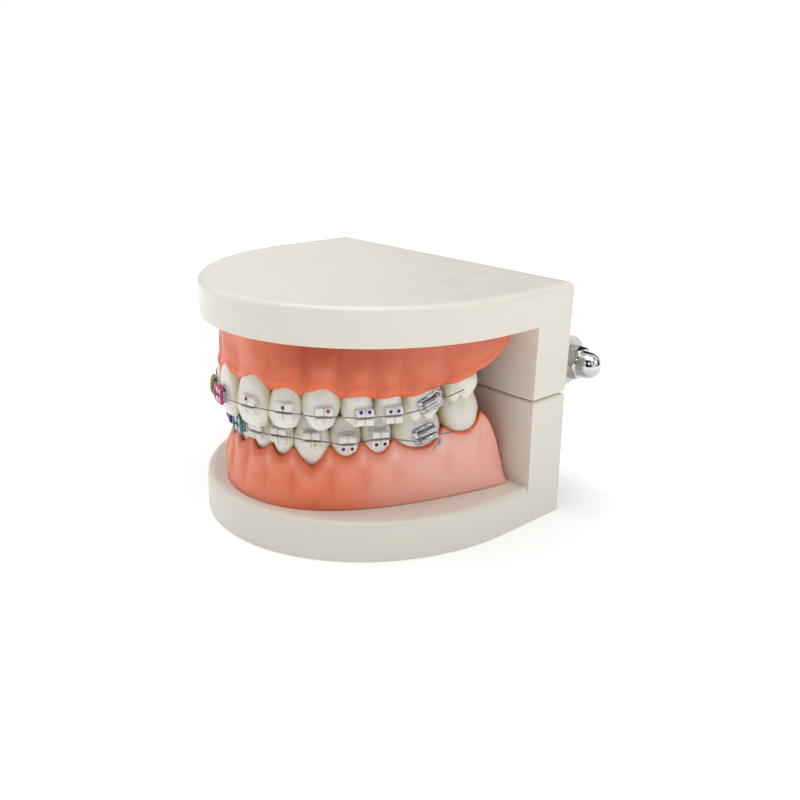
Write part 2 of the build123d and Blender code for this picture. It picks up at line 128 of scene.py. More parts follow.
LOWER = Jaw(
    name="lower",
    body="lower_jaw",
    way=1,
    pitch=-3.0,
    swell=1.2,
    crease=0.55,
    ridge=0.28,
    valley=4.5,
    face=-1.7,
    foot_z=PLATE_LOWER,
    foot=(0.0, -15.0),
    belly=(-0.55, -14.2),
    margin=(-1.55, -2.7),
    rear=21.0,
    teeth=[
        Tooth("central_incisor", 5.9, 5.8, 20.2, 29.2, 1.7, 0.45),
        Tooth("lateral_incisor", 5.4, 6.0, 19.9, 29.4, 1.7, 0.45),
        Tooth("canine", 7.8, 7.4, 18.1, 30.2, 1.4, 0.9),
        Tooth("first_premolar", 6.9, 7.8, 20.5, 29.9, 1.8, 0.55),
        Tooth("second_premolar", 6.8, 8.2, 20.9, 29.9, 1.9, 0.5),
        Tooth("first_molar", 11.9, 9.8, 21.1, 29.7, 2.2, 0.5),
        Tooth("second_molar", 9.7, 9.6, 23.2, 33.1, 2.2, 0.45),
    ],
    papillae=(22.6, 22.2, 22.3, 23.0, 23.9, 23.7, 25.0, 26.8),
    lean=0.05,
    slots=(24.9, 25.2, 24.9, 24.2, 24.9),
    shifts=(0.1, 0.2, 0.4, 0.2, 0.1),
    right_slots=(24.6, 25.0, 24.9, 24.2, 24.9),
    right_shifts=(0.0, 0.2, 0.4, 0.2, 0.1),
    tube=24.4,
    tube_tilt=15.0,
    tube_shift=1.1,
    bore=0.9,
    tail=(4.2, 2.1),
    shade=((0, 0.15), (20, 0.2), (44, 0.1)),
    pale=((0, 0.2), (9, 0.08), (16, 0.0), (24, 0.16), (32, 0.5), (44, 0.75)),
)
CORNER_CENTRE = (0.0, 4.0)
CORNER_ANGLE = 46.0  # degrees from the front towards the right side
CORNER_SPREAD = 24.0
CORNER_IN = {"upper_jaw": 1.6, "lower_jaw": 0.6}
ANTERIORS = 3
CANINE = 2
FIRST_MOLAR = 5
BURIED = 2.2  # how far a crown runs into the gum
LAP = 0.3  # how far the gum's margin stands out over a crown
CAP_POWER = 1.4  # outline of a gum's rear end

# ---------------------------------------------------------------- arch geometry

GRID = np.linspace(0, 44, 4401)


def arch_xy(x, offset):
    """Points of the arch line at x, moved outwards by offset."""
    slope = ARCH_RISE / ARCH_REACH * np.sinh(x / ARCH_REACH)
    run = np.sqrt(1 + slope**2)
    y = ARCH_FRONT + ARCH_RISE * (np.cosh(x / ARCH_REACH) - 1)
    return x + offset * slope / run, y - offset / run


def station(distance, offset):
    """The x on the arch line at a signed distance from the midline along the offset line."""
    x, y = arch_xy(GRID, offset)
    travel = np.concatenate([[0.0], np.cumsum(np.hypot(np.diff(x), np.diff(y)))])
    return np.sign(distance) * np.interp(np.abs(distance), travel, GRID)


def local_frame(x):
    """Origin on the arch line, unit vector backwards along it and unit vector outwards."""
    px, py = arch_xy(x, 0.0)
    qx, qy = arch_xy(x, 1.0)
    out = np.array([qx - px, qy - py, 0.0])
    return np.array([px, py, 0.0]), np.array([-out[1], out[0], 0.0]), out


def curve(knots, t):
    """Smooth curve through (t, value) knots, read at t."""
    ts, values = np.array(knots, float).T
    slopes = np.gradient(values, ts)
    t = np.asarray(t, float)
    i = np.clip(np.searchsorted(ts, t) - 1, 0, len(ts) - 2)
    span = ts[i + 1] - ts[i]
    f = np.clip((t - ts[i]) / span, 0, 1)
    return (
        (1 + 2 * f) * (1 - f) ** 2 * values[i]
        + f * (1 - f) ** 2 * span * slopes[i]
        + f**2 * (3 - 2 * f) * values[i + 1]
        + f**2 * (f - 1) * span * slopes[i + 1]
    )


def drawn_in(points, amount):
    """Points with the right front corner of the arch moved in, as far as the photo shows it."""
    towards = np.array(CORNER_CENTRE) - points[:, :2]
    reach = np.maximum(np.linalg.norm(towards, axis=1), 1.0)
    angle = np.degrees(np.arctan2(towards[:, 0], towards[:, 1]))
    weight = amount * np.exp(-(((angle - CORNER_ANGLE) / CORNER_SPREAD) ** 2))
    moved = points.copy()
    moved[:, :2] += towards * (weight / reach)[:, None]
    return moved


def edges_of(jaw):
    """Distances from the midline at which the teeth of one side meet."""
    return np.concatenate([[0.0], np.cumsum([tooth.width for tooth in jaw.teeth])])


def turns(count):
    """Angles once round, in equal steps."""
    return 2 * pi * np.arange(count) / count


def superellipse(turn, power):
    """Unit superellipse: its two coordinates at each turn."""
    across, up = np.cos(turn), np.sin(turn)
    return (
        np.sign(across) * np.abs(across) ** (2 / power),
        np.sign(up) * np.abs(up) ** (2 / power),
    )


def hump(value, centre, width):
    """Bell curve of height 1."""
    return np.exp(-(((value - centre) / width) ** 2))


def ramp(value, start, end):
    """Straight rise from 0 at start to 1 at end, and level beyond both."""
    return np.clip((value - start) / (end - start), 0, 1)


# ---------------------------------------------------------------- materials


class Shader:
    """Node tree of a material or of the world, while it is built."""

    def __init__(self, tree):
        self.tree = tree

    def feed(self, socket, value):
        """Set a socket, or link it where the value is another node's output."""
        if isinstance(value, bpy.types.NodeSocket):
            self.tree.links.new(value, socket)
        else:
            socket.default_value = value

    def node(self, kind, **inputs):
        """New node with its inputs fed. An underscore stands for a space in their names."""
        made = self.tree.nodes.new("ShaderNode" + kind)
        for name, value in inputs.items():
            self.feed(made.inputs[name.replace("_", " ")], value)
        return made

    def spread(self, value, low, high, start=0.3, end=0.7):
        """Value from start to end mapped to low to high."""
        mapped = self.node(
            "MapRange", Value=value, From_Min=start, From_Max=end, To_Min=low, To_Max=high
        )
        return mapped.outputs["Result"]


class Surface(Shader):
    """Principled material: constant sockets first, then layers of noise and paint."""

    def __init__(self, name, colour, roughness, **sockets):
        self.material = bpy.data.materials.new(name)
        self.material.use_nodes = True
        super().__init__(self.material.node_tree)
        self.skin = self.tree.nodes["Principled BSDF"]
        self.feed(self.skin.inputs["Base Color"], (*colour, 1.0))
        self.feed(self.skin.inputs["Roughness"], roughness)
        for socket, value in sockets.items():
            self.feed(self.skin.inputs[socket.replace("_", " ")], value)

    def scatter(self, weight, scale, radius=None):
        """Light that enters the surface, with the scale in millimetres."""
        self.feed(self.skin.inputs["Subsurface Weight"], weight)
        self.feed(self.skin.inputs["Subsurface Scale"], scale * MM)
        if radius:
            self.feed(self.skin.inputs["Subsurface Radius"], radius)

    def grain(self, scale, detail, stretch=(1, 1, 1)):
        """Noise in the object's own space, so that it moves with the piece."""
        place = self.node("TexCoord").outputs["Object"]
        mapped = self.node("Mapping", Vector=place, Scale=stretch).outputs["Vector"]
        return self.node("TexNoise", Vector=mapped, Scale=scale, Detail=detail).outputs["Fac"]

    def tint(self, amount, colour):
        """Mix one more colour over what the base colour has so far."""
        target = self.skin.inputs["Base Color"]
        mixed = self.node("Mix")
        mixed.data_type = "RGBA"
        before = target.links[0].from_socket if target.is_linked else target.default_value
        self.feed(mixed.inputs["A"], before)
        self.feed(mixed.inputs["B"], (*colour, 1.0))
        self.feed(mixed.inputs["Factor"], amount)
        self.feed(target, mixed.outputs["Result"])

    def mottle(self, scale, detail, most, colour, *ends):
        """Patches of another colour."""
        self.tint(self.spread(self.grain(scale, detail), 0.0, most, *ends), colour)

    def stain(self, layer, colour):
        """Colour where a layer is painted on the mesh's points: the pieces' own tones, and painted
        shade and highlight.
        """
        stored = self.node("Attribute")
        stored.attribute_name = layer
        self.tint(stored.outputs["Fac"], colour)

    def roughen(self, scale, detail, low, high, *ends):
        """Roughness that varies from low to high."""
        rough = self.spread(self.grain(scale, detail), low, high, *ends)
        self.feed(self.skin.inputs["Roughness"], rough)

    def relief(self, scale, detail, distance, strength, stretch=(1, 1, 1)):
        """Fine relief, distance in millimetres, on top of what the normal has so far."""
        bump = self.node("Bump", Distance=distance * MM, Strength=strength)
        target = self.skin.inputs["Normal"]
        if target.is_linked:
            self.feed(bump.inputs["Normal"], target.links[0].from_socket)
        self.feed(bump.inputs["Height"], self.grain(scale, detail, stretch))
        self.feed(target, bump.outputs["Normal"])


def plastic_material():
    made = Surface("base_plastic", (0.80, 0.77, 0.69), 0.34, IOR=1.5)
    made.scatter(0.12, 1.2, (1.0, 0.8, 0.5))
    made.mottle(35, 2, 0.5, (0.77, 0.735, 0.65))
    made.roughen(160, 4, 0.28, 0.42)
    made.relief(700, 4, 0.035, 0.5)
    made.relief(60, 1, 0.25, 0.15)
    return made.material


def gum_material():
    made = Surface("gum", (0.96, 0.21, 0.085), 0.3, IOR=1.5, Specular_IOR_Level=0.3)
    made.scatter(0.12, 0.8, (1.0, 0.35, 0.2))
    made.mottle(140, 2, 0.5, (0.95, 0.26, 0.13), 0.1, 0.9)
    # painted shade: darker gum down at the plate, deepest under the upper plate, and in the dips
    # between the roots
    made.stain("deep", (0.37, 0.042, 0.01))
    # redder gum at the margins, lips and trough: the margin's own redder tone together with
    # painted shade in the crevice at the teeth
    made.stain("rim", (0.88, 0.165, 0.06))
    # painted highlight: paler, pinker gum on the root bulges' tops and papilla folds, and painted
    # sheen where the gum catches the lamps
    made.stain("ridge", (1.0, 0.58, 0.5))
    made.roughen(260, 2, 0.22, 0.48, 0.1, 0.9)
    made.relief(1000, 1, 0.035, 0.5)
    return made.material


def tooth_material():
    coat = {"Coat Weight": 0.3, "Coat Roughness": 0.03}
    made = Surface("tooth", (0.83, 0.805, 0.745), 0.1, IOR=1.5, **coat)
    made.scatter(0.35, 1.5, (1.0, 0.9, 0.6))
    made.mottle(220, 3, 0.4, (0.88, 0.87, 0.825))
    # yellower at the neck, the tooth's own tone, and painted contact shade down the sides where
    # neighbours meet
    made.stain("neck", (0.60, 0.52, 0.27))
    # darker colour in the fissures of the back teeth
    made.stain("groove", (0.45, 0.38, 0.24))
    made.roughen(420, 3, 0.08, 0.2)
    made.relief(330, 2, 0.16, 0.5, (1, 1, 0.4))
    return made.material


def ceramic_material():
    made = Surface("bracket_ceramic", (0.77, 0.745, 0.69), 0.2, IOR=1.5)
    made.scatter(0.5, 1.0, (1.0, 1.0, 0.9))
    made.mottle(500, 2, 1.0, (0.84, 0.82, 0.775), 0.2, 0.8)
    made.roughen(900, 2, 0.12, 0.32, 0.2, 0.8)
    made.relief(800, 2, 0.08, 0.5)
    return made.material


def scaled(colour, share):
    return tuple(share * part for part in colour)


def dot_material(name, colour):
    made = Surface(name, colour, 0.3)
    made.mottle(1500, 2, 0.5, scaled(colour, 0.6))
    made.relief(2400, 3, 0.02, 0.4)
    return made.material


def metal_material(name, colour, low, high, scale):
    made = Surface(name, colour, low, Metallic=1.0)
    made.roughen(scale, 4, low, high)
    made.mottle(scale / 4, 3, 0.5, scaled(colour, 0.78))
    made.relief(scale * 1.5, 3, 0.012, 0.4)
    return made.material


def elastic_material(name, colour):
    made = Surface(name, colour, 0.3, IOR=1.48)
    made.scatter(0.25, 0.4)
    made.mottle(900, 3, 0.6, scaled(colour, 0.6))
    made.roughen(1400, 3, 0.22, 0.42)
    made.relief(2400, 3, 0.03, 0.5)
    return made.material


def floor_material():
    """Pale floor that glows, faintly near the model, where the glow lightens its shadows and
    lights the model from below, and fully white further out, so that it fades into the white
    background.
    """
    made = Surface("floor_paper", (0.93, 0.93, 0.93), 0.8, Emission_Color=(1, 1, 1, 1))
    reach = made.node("VectorMath")
    reach.operation = "LENGTH"
    made.feed(reach.inputs[0], made.node("TexCoord").outputs["Object"])
    # the floor glows, faintly at the model and fully white from 0.4 m out
    glow = made.spread(reach.outputs["Value"], 0.22, 1.0, 0.06, 0.4)
    made.feed(made.skin.inputs["Emission Strength"], glow)
    made.mottle(30, 4, 0.3, (0.91, 0.91, 0.91))
    made.relief(900, 3, 0.02, 0.3)
    return made.material


# Elastic rings of each jaw from the central incisor back: material and colour.
ELASTICS = {
    "upper": [
        ("elastic_magenta", (0.62, 0.03, 0.20)),
        ("elastic_gold", (0.42, 0.33, 0.10)),
        ("elastic_red", (0.55, 0.03, 0.04)),
        ("elastic_orange", (0.80, 0.22, 0.03)),
        ("elastic_blue", (0.03, 0.12, 0.50)),
    ],
    "lower": [
        ("elastic_teal", (0.06, 0.32, 0.36)),
        ("elastic_purple", (0.12, 0.06, 0.38)),
        ("elastic_green", (0.05, 0.38, 0.12)),
        ("elastic_yellow", (0.82, 0.62, 0.05)),
        ("elastic_pink", (0.80, 0.25, 0.36)),
    ],
}
DOT_COLOURS = {
    "dark_red": (0.33, 0.015, 0.03),
    "dark_green": (0.015, 0.06, 0.035),
    "blue": (0.012, 0.012, 0.33),
    "yellow": (0.80, 0.66, 0.02),
    "maroon": (0.10, 0.012, 0.03),
    "black": (0.012, 0.012, 0.02),
}

PLASTIC = plastic_material()
GUM = gum_material()
TOOTH = tooth_material()
CERAMIC = ceramic_material()
STEEL = metal_material("bracket_steel", (0.49, 0.49, 0.5), 0.07, 0.18, 1800)
WIRE = metal_material("wire_steel", (0.24, 0.23, 0.21), 0.22, 0.4, 2500)
BOLT = metal_material("bolt_steel", (0.60, 0.60, 0.58), 0.2, 0.4, 1200)
CHROME = metal_material("nut_chrome", (0.62, 0.62, 0.63), 0.04, 0.12, 900)
DOT_MATERIALS = {
    name: dot_material("dot_" + name, colour) for name, colour in DOT_COLOURS.items()
}
RING_MATERIALS = {
    jaw: [(name, elastic_material(name, colour)) for name, colour in rings]
    for jaw, rings in ELASTICS.items()
}

# ---------------------------------------------------------------- mesh making


WELD = 0.002  # points this close become one
SHARP = 35  # degrees from which an edge is rounded


def make_piece(name, points, faces, material, body, slot, nodes=(), paint=None):
    """Mesh object from points in millimetres. It rides on a body and stands for CAD nodes."""
    points = drawn_in(np.array(points, float), CORNER_IN[body]) * MM
    mesh = bpy.data.meshes.new(name)
    mesh.from_pydata([tuple(p) for p in points], [], faces)
    for layer, values in (paint or {}).items():
        stored = mesh.attributes.new(layer, "FLOAT", "POINT")
        stored.data.foreach_set("value", np.clip(values, 0, 1).astype(np.float32))
    work = bmesh.new()
    work.from_mesh(mesh)
    bmesh.ops.remove_doubles(work, verts=work.verts, dist=WELD * MM)
    bmesh.ops.recalc_face_normals(work, faces=work.faces)
    work.to_mesh(mesh)
    work.free()
    mesh.polygons.foreach_set("use_smooth", [True] * len(mesh.polygons))
    mesh.materials.append(material)
    piece = bpy.data.objects.new(name, mesh)
    bpy.context.collection.objects.link(piece)
    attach(piece, body)
    if nodes:
        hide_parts(*nodes)
    return piece


def grid_faces(rows, columns, first=0, around=True, ends=""):
    """Quads between rows of points. With around, each row is a closed ring.

    Ends names the rows that get a face of their own: start, end or both.
    """
    faces = []
    for row in range(first, first + (rows - 1) * columns, columns):
        for j in range(columns if around else columns - 1):
            a, b = row + j, row + (j + 1) % columns
            faces.append((a, b, b + columns, a + columns))
    if ends in ("start", "both"):
        faces.append(tuple(range(first, first + columns)))
    if ends in ("end", "both"):
        last = first + (rows - 1) * columns
        faces.append(tuple(range(last, last + columns)))
    return faces


def ring_bridge(start, end, count):
    """Quads from one ring of points to another, by their first indices."""
    pairs = [(k, (k + 1) % count) for k in range(count)]
    return [(start + k, start + after, end + after, end + k) for k, after in pairs]


class Pile:
    """Points and faces of several closed shells, gathered into one mesh."""

    def __init__(self):
        self.points = []
        self.faces = []

    def add(self, points, faces):
        first = len(self.points)
        self.points += [tuple(p) for p in points]
        self.faces += [tuple(first + i for i in face) for face in faces]

    def mirrored(self):
        return np.array(self.points) * MIRROR, self.faces


def soften(piece, width, segments=2):
    """Rounded edges, with the width in millimetres."""
    rounded = piece.modifiers.new("rounded_edges", "BEVEL")
    rounded.width = width * MM
    rounded.segments = segments
    rounded.limit_method = "ANGLE"
    rounded.angle_limit = radians(SHARP)


def tube(path, radius, sides, closed=False):
    """Round tube along a path of points, with flat ends unless it is closed."""
    if closed:
        ahead = np.roll(path, -1, 0) - np.roll(path, 1, 0)
    else:
        ahead = np.gradient(path, axis=0)
    ahead /= np.linalg.norm(ahead, axis=1)[:, None]
    side = np.cross(ahead[0], (0, 0, 1) if abs(ahead[0][2]) < 0.9 else (1, 0, 0))
    points = []
    for centre, forward in zip(path, ahead):
        side = side - forward * side.dot(forward)
        side /= np.linalg.norm(side)
        up = np.cross(forward, side)
        points += [centre + radius * (cos(turn) * side + sin(turn) * up) for turn in turns(sides)]
    faces = grid_faces(len(path), sides, ends="" if closed else "both")
    if closed:
        faces += ring_bridge((len(path) - 1) * sides, 0, sides)
    return points, faces


def smooth_path(points, per_span):
    """Catmull-Rom curve through the points."""
    points = np.asarray(points, float)
    ends = np.concatenate([points[:1], points, points[-1:]])
    path = []
    for a, b, c, d in zip(ends, ends[1:], ends[2:], ends[3:]):
        for t in np.arange(per_span) / per_span:
            bend = (2 * a - 5 * b + 4 * c - d) * t**2 + (3 * b - a - 3 * c + d) * t**3
            path.append(0.5 * (2 * b + (c - a) * t + bend))
    return np.array(path + [points[-1]])


# ---------------------------------------------------------------- teeth

# Shares of the width and depth, and the face's set-back in millimetres, from neck (0) to tip (1).
FRONT = {
    "wide": [(0, 0.62), (0.2, 0.76), (0.45, 0.94), (0.7, 1.03), (0.88, 0.98), (1, 0.78)],
    "deep": [(0, 0.86), (0.25, 0.92), (0.5, 0.72), (0.75, 0.45), (0.92, 0.3), (1, 0.24)],
    "back": [(0, -1.9), (0.2, -1.05), (0.4, -0.5), (0.6, -0.35), (0.85, -0.5), (1, -0.95)],
}
CUSPID = {
    "wide": [(0, 0.62), (0.2, 0.78), (0.42, 0.97), (0.62, 1.03), (0.84, 0.93), (1, 0.66)],
    "deep": [(0, 0.88), (0.25, 0.95), (0.5, 0.86), (0.75, 0.6), (0.92, 0.4), (1, 0.24)],
    "back": [(0, -2.0), (0.2, -0.95), (0.4, -0.35), (0.6, -0.25), (0.85, -0.65), (1, -1.35)],
}
BACK = {
    "wide": [(0, 0.72), (0.2, 0.82), (0.45, 0.97), (0.62, 1.02), (0.82, 0.95), (1, 0.78)],
    "deep": [(0, 0.8), (0.2, 0.88), (0.42, 1.0), (0.6, 1.0), (0.82, 0.88), (1, 0.66)],
    "back": [(0, -1.5), (0.2, -0.5), (0.38, -0.02), (0.55, -0.05), (0.8, -0.65), (1, -1.55)],
}
AROUND = 72
WALL_LEVELS = 18
TOP_RINGS = 12
OUTER_SHARE = 0.45  # of a section's depth lies outside its widest line
INCISOR_DROP = (0.8, 1.5, 2.6)  # of the tip at the mesial and distal side, and its power
CANINE_DROP = (2.0, 2.6, 1.6)
TIP_ROUNDING = 0.45
SPLIT_DEPTH = 0.28  # of the furrows between a molar's outer cusps
LOBE_HEIGHT = 0.07  # of the ridges down a front tooth's face

# Cusps of the back teeth: along the arch, from cheek (0) to tongue (1), share of full height.
UPPER_MOLAR = [(-0.5, 0.1, 1.0), (0.45, 0.1, 0.93), (-0.35, 0.88, 1.0), (0.55, 0.9, 0.75)]
CUSPS = {
    "upper": {
        3: [(-0.05, 0.1, 1.0), (0.0, 0.88, 0.86)],
        4: [(-0.05, 0.12, 1.0), (0.0, 0.88, 0.95)],
        5: UPPER_MOLAR,
        6: UPPER_MOLAR,
    },
    "lower": {
        3: [(-0.05, 0.1, 1.0), (0.0, 0.88, 0.5)],
        4: [(-0.05, 0.12, 1.0), (0.0, 0.88, 0.7)],
        5: [
            (-0.62, 0.1, 1.0),
            (0.02, 0.08, 0.95),
            (0.62, 0.14, 0.85),
            (-0.45, 0.9, 1.0),
            (0.42, 0.9, 0.95),
        ],
        6: [(-0.48, 0.1, 1.0), (0.45, 0.1, 0.93), (-0.45, 0.9, 0.97), (0.42, 0.9, 0.92)],
    },
}
CUSP_HEIGHT = {"upper": 2.5, "lower": 2.2}  # above the fossa
PREMOLAR_CUSPS = 0.9  # their height as a share of a molar's
FISSURE_DEPTH = 0.45
TOP_STAIN = 0.1  # of the neck's colour, on the biting surface
GROOVE_DARKENING = 0.55
MAX_LEAN = 2.0  # degrees by which a tooth tips forwards or backwards
TIPPING = 0.6  # share of that tip which its height takes part in
UNEVEN_SCALE = 0.35  # waves per millimetre
UNEVEN_HEIGHT = 0.09


def form_of(kind):
    if kind == CANINE:
        return CUSPID
    return FRONT if kind < ANTERIORS else BACK


def squareness(kind):
    return 2.5 if kind < FIRST_MOLAR else 3.0


def crown_height(jaw, kind):
    """Height of the neck, and the length of the crown from there to its tip."""
    tooth = jaw.teeth[kind]
    neck = tooth.gum_line - jaw.way * BURIED
    return neck, abs(tooth.tip - neck)


def tooth_level(jaw, kind, z):
    """How far from neck (0) to tip (1) a height lies on a tooth."""
    neck, length = crown_height(jaw, kind)
    return jaw.way * (z - neck) / length


def crown_section(jaw, kind, level):
    """Half width, depth and outermost offset of a crown, at a level from neck to tip."""
    tooth, form = jaw.teeth[kind], form_of(kind)
    half = tooth.width / 2 * curve(form["wide"], level)
    deep = tooth.depth * curve(form["deep"], level)
    return half, deep, jaw.face + curve(form["back"], level)


def tip_profile(kind, along, length):
    """Share of a front crown's length at a place along the tooth, -1 mesial to 1 distal."""
    mesial, distal, power = CANINE_DROP if kind == CANINE else INCISOR_DROP
    return 1 - np.where(along < 0, mesial, distal) * np.abs(along) ** power / length


def face_offset(jaw, kind, along, level):
    """Offset of the crown's outer surface, with along in millimetres from its middle."""
    half, deep, outer = crown_section(jaw, kind, level)
    power = squareness(kind)
    inside = np.clip(1 - np.abs(along / half) ** power, 0, 1) ** (1 / power)
    return outer - deep * OUTER_SHARE * (1 - inside)


def occlusal(cusps, kind, along, across):
    """Share of the cusp height at a place on a back tooth's table."""
    molar = kind >= FIRST_MOLAR
    wide, crest = (0.42, 0.86) if molar else (0.5, 0.6)
    total = np.zeros_like(along)
    for u, v, share in cusps:
        total += (share * hump(along, u, wide) * hump(across, v, 0.34)) ** 3
    for side in (-1, 1):
        total += (0.5 * hump(along, 0.86 * side, 0.16)) ** 3
    for place in (0.06, 0.94):
        rim = crest * hump(across, place, 0.16) * (1 - 0.35 * np.abs(along) ** 3)
        total += rim**3
    return total ** (1 / 3)


def between_cusps(cusps, inner):
    """Places along the arch halfway between the cusps of one row."""
    line = sorted(u for u, v, _ in cusps if (v > 0.5) == inner)
    return [(a + b) / 2 for a, b in zip(line, line[1:])]


def fissures(cusps, along, across):
    """Depth share of the grooves: one along the table, and one between each pair of cusps."""
    deep = hump(across, 0.5 + 0.03 * np.sin(7 * along), 0.05)
    deep = deep * ramp(np.abs(along), 0.78, 0.18)
    for inner in (False, True):
        reach = ramp(across, 0.33, 0.53) if inner else ramp(across, 0.57, 0.37)
        for middle in between_cusps(cusps, inner):
            deep = np.maximum(deep, hump(along, middle, 0.05) * reach)
    return deep


class Crown:
    """Left crown as rings of points, each with its place along the tooth, offset and height."""

    def __init__(self, jaw, kind):
        self.jaw, self.kind = jaw, kind
        self.half = jaw.teeth[kind].width / 2
        self.neck, self.length = crown_height(jaw, kind)
        self.cusps = CUSPS[jaw.name].get(kind, [])
        self.ring_u, self.ring_v = superellipse(turns(AROUND), squareness(kind))
        self.table_u, self.table_off = self.section(1.0)

    def section(self, level):
        """Places along the tooth and offsets of one ring."""
        half, deep, outer = crown_section(self.jaw, self.kind, level)
        share = np.where(self.ring_v < 0, OUTER_SHARE, 1 - OUTER_SHARE)
        return half * self.ring_u, outer - deep * OUTER_SHARE - deep * share * self.ring_v

    def table(self, u, off):
        """Height and groove depth of a back tooth's biting surface."""
        along = u / crown_section(self.jaw, self.kind, 1.0)[0]
        high, low = self.table_off.max(), self.table_off.min()
        across = (high - off) / (high - low)
        groove = fissures(self.cusps, along, across)
        share = 1.0 if self.kind >= FIRST_MOLAR else PREMOLAR_CUSPS
        fossa = self.length - CUSP_HEIGHT[self.jaw.name] * share
        height = fossa + (self.length - fossa) * occlusal(self.cusps, self.kind, along, across)
        return height - FISSURE_DEPTH * groove, groove

    def front_height(self, u):
        return self.length * tip_profile(self.kind, u / self.half, self.length)

    def wall_ring(self, level):
        """Ring of the wall, from neck (0) to tip (1)."""
        u, off = self.section(level)
        if self.kind < ANTERIORS:
            lobes = np.cos(1.5 * pi * u / self.half) * ramp(level, 0.35, 0.85)
            off = off + LOBE_HEIGHT * lobes * ramp(-self.ring_v, 0, 1 / 2)
            return u, off, level * self.front_height(u)
        if self.kind >= FIRST_MOLAR:
            deepen = SPLIT_DEPTH * ramp(level, 0.3, 0.8) * ramp(-self.ring_v, 0, 1 / 3)
            for place in between_cusps(self.cusps, False):
                off = off - deepen * hump(u / self.half, place * 0.8, 0.11)
        return u, off, level * self.table(self.table_u, self.table_off)[0]

    def top_ring(self, share):
        """Ring of the biting surface, from its edge (0) to its middle (1), and its grooves."""
        keep = cos(share * pi / 2) if share < 1 else 0.0
        if self.kind >= ANTERIORS:
            centre = (self.table_off.max() + self.table_off.min()) / 2
            u, off = self.table_u * keep, centre + (self.table_off - centre) * keep
            height, groove = self.table(u, off)
            return (u, off, height), groove
        half, deep, outer = crown_section(self.jaw, self.kind, 1.0)
        centre = outer - deep * OUTER_SHARE
        u = self.table_u * (1 - (1 - keep) * deep / 2 / half)
        off = centre + (self.table_off - centre) * keep
        height = self.front_height(u) + TIP_ROUNDING * sin(share * pi / 2)
        return (u, off, height), np.zeros(AROUND)


def tooth_mesh(jaw, kind, lean):
    """Points, faces and painted layers of a left tooth."""
    crown = Crown(jaw, kind)
    rings, neck_and_contact_shade, grooves = [], [], []
    for level in np.linspace(0, 1, WALL_LEVELS):
        rings.append(crown.wall_ring(level))
        # painted contact shade down the sides where neighbours meet, and the neck's own yellower
        # tone
        sides = np.abs(crown.ring_u) ** 3.5 * ramp(level, 2.4, 0.4)
        neck_and_contact_shade.append(0.8 * sides + 0.5 * hump(level, 0, 0.3))
        grooves.append(np.zeros(AROUND))
    for step in range(1, TOP_RINGS + 1):
        ring, groove = crown.top_ring(step / TOP_RINGS)
        rings.append(ring)
        neck_and_contact_shade.append(np.full(AROUND, TOP_STAIN))
        grooves.append(GROOVE_DARKENING * groove)

    x = station(np.array(edges_of(jaw)[kind] + crown.half), jaw.pitch)
    origin, along_arch, out = local_frame(x)
    lean = radians(lean)
    points = []
    for u, off, height in rings:
        # A slight tip about the outward axis, as real teeth have.
        shift = u * cos(lean) + (height - crown.length / 2) * sin(lean) * TIPPING
        place = origin + np.outer(shift, along_arch) + np.outer(off, out)
        place[:, 2] = crown.neck + jaw.way * height
        points.append(place)
    points = np.concatenate(points)
    apart = Vector((kind * 3.1, 0, 0))  # so that no two teeth get the same unevenness
    wobble = np.array([noise.noise(Vector(p * UNEVEN_SCALE) + apart) for p in points])
    away = points - points.mean(axis=0)
    away[:, 2] = 0
    away /= np.linalg.norm(away, axis=1)[:, None] + 1e-6
    points = points + away * (UNEVEN_HEIGHT * wobble)[:, None]
    paint = {"neck": np.concatenate(neck_and_contact_shade), "groove": np.concatenate(grooves)}
    return points, grid_faces(len(rings), AROUND, ends="start"), paint


def make_teeth(jaw):
    for kind, tooth in enumerate(jaw.teeth):
        points, faces, paint = tooth_mesh(jaw, kind, rng.uniform(-MAX_LEAN, MAX_LEAN))
        for side, placed in (("left", points), ("right", points * MIRROR)):
            node = f"{jaw.name}_{side}_{tooth.name}"
            make_piece(node + "_crown", placed, faces, TOOTH, jaw.body, "tooth", [node], paint)


# ---------------------------------------------------------------- gums

STATION_STEP = 0.3
OUTER_WALL = 22
INNER_WALL = 16
CAP_STEPS = 14
CAP_END = 0.015  # height share at which the rear end closes
MARGIN_POWER = 2.2  # how the margin goes from its place at a root to that at a papilla
INNER_LAP = (0.25, 0.9)  # margin on the tongue side, over a crown and at a papilla
LIP = [(0.0, 0.0), (-0.10, 0.16), (-0.32, 0.24), (-0.62, 0.1), (-0.95, -0.35)]
TROUGH = (1.0, 0.5)  # half width and depth, between the two lips and under the crowns
TONGUE_FACE = 0.94  # of a tooth's depth, to its tongue side
COLLAR = 0.22  # how far the gum swells just under its margin
INNER_BULGE = 0.3  # of the roots on the tongue side, as a share of those outside
BULGE_POWER = 1.4  # puts the thickest part of a root nearer the margin
END_NARROW = (0.88, 0.6)  # width at the closed rear end, and the power with which it comes down

# Where a feature lies between the foot (0) and the margin (1), and how wide it is there.
FOLD_AT = (0.8, 0.13)
COLLAR_AT = (0.9, 0.07)
HIGHLIGHT_AT = (0.72, 0.16)
PLATE_SHADE_AT = (0, 0.75)

# How far each line along the arch is smoothed, in millimetres.
BLURS = {"height": 0.32, "outer": 0.4, "inner": 1.0, "bulge": 0.45, "crease": 0.3}
CREASE_WIDE = 0.16  # share of half a tooth's width

# Shares of the rim's colour, the margin's redder tone together with painted crevice shade: outer
# wall,
#  lips and trough, inner wall, rear ends.
RIM_OUTER, RIM_LIP, RIM_INNER, RIM_END = 0.8, 0.9, 0.6, 0.3
RIM_REACH = 1.6  # how far it runs down the walls
DIP_SHADE = 0.3  # darker gum between the roots
LAYERS = ("rim", "ridge", "deep")  # painted on the points: the rim's colour, painted highlight and painted shade


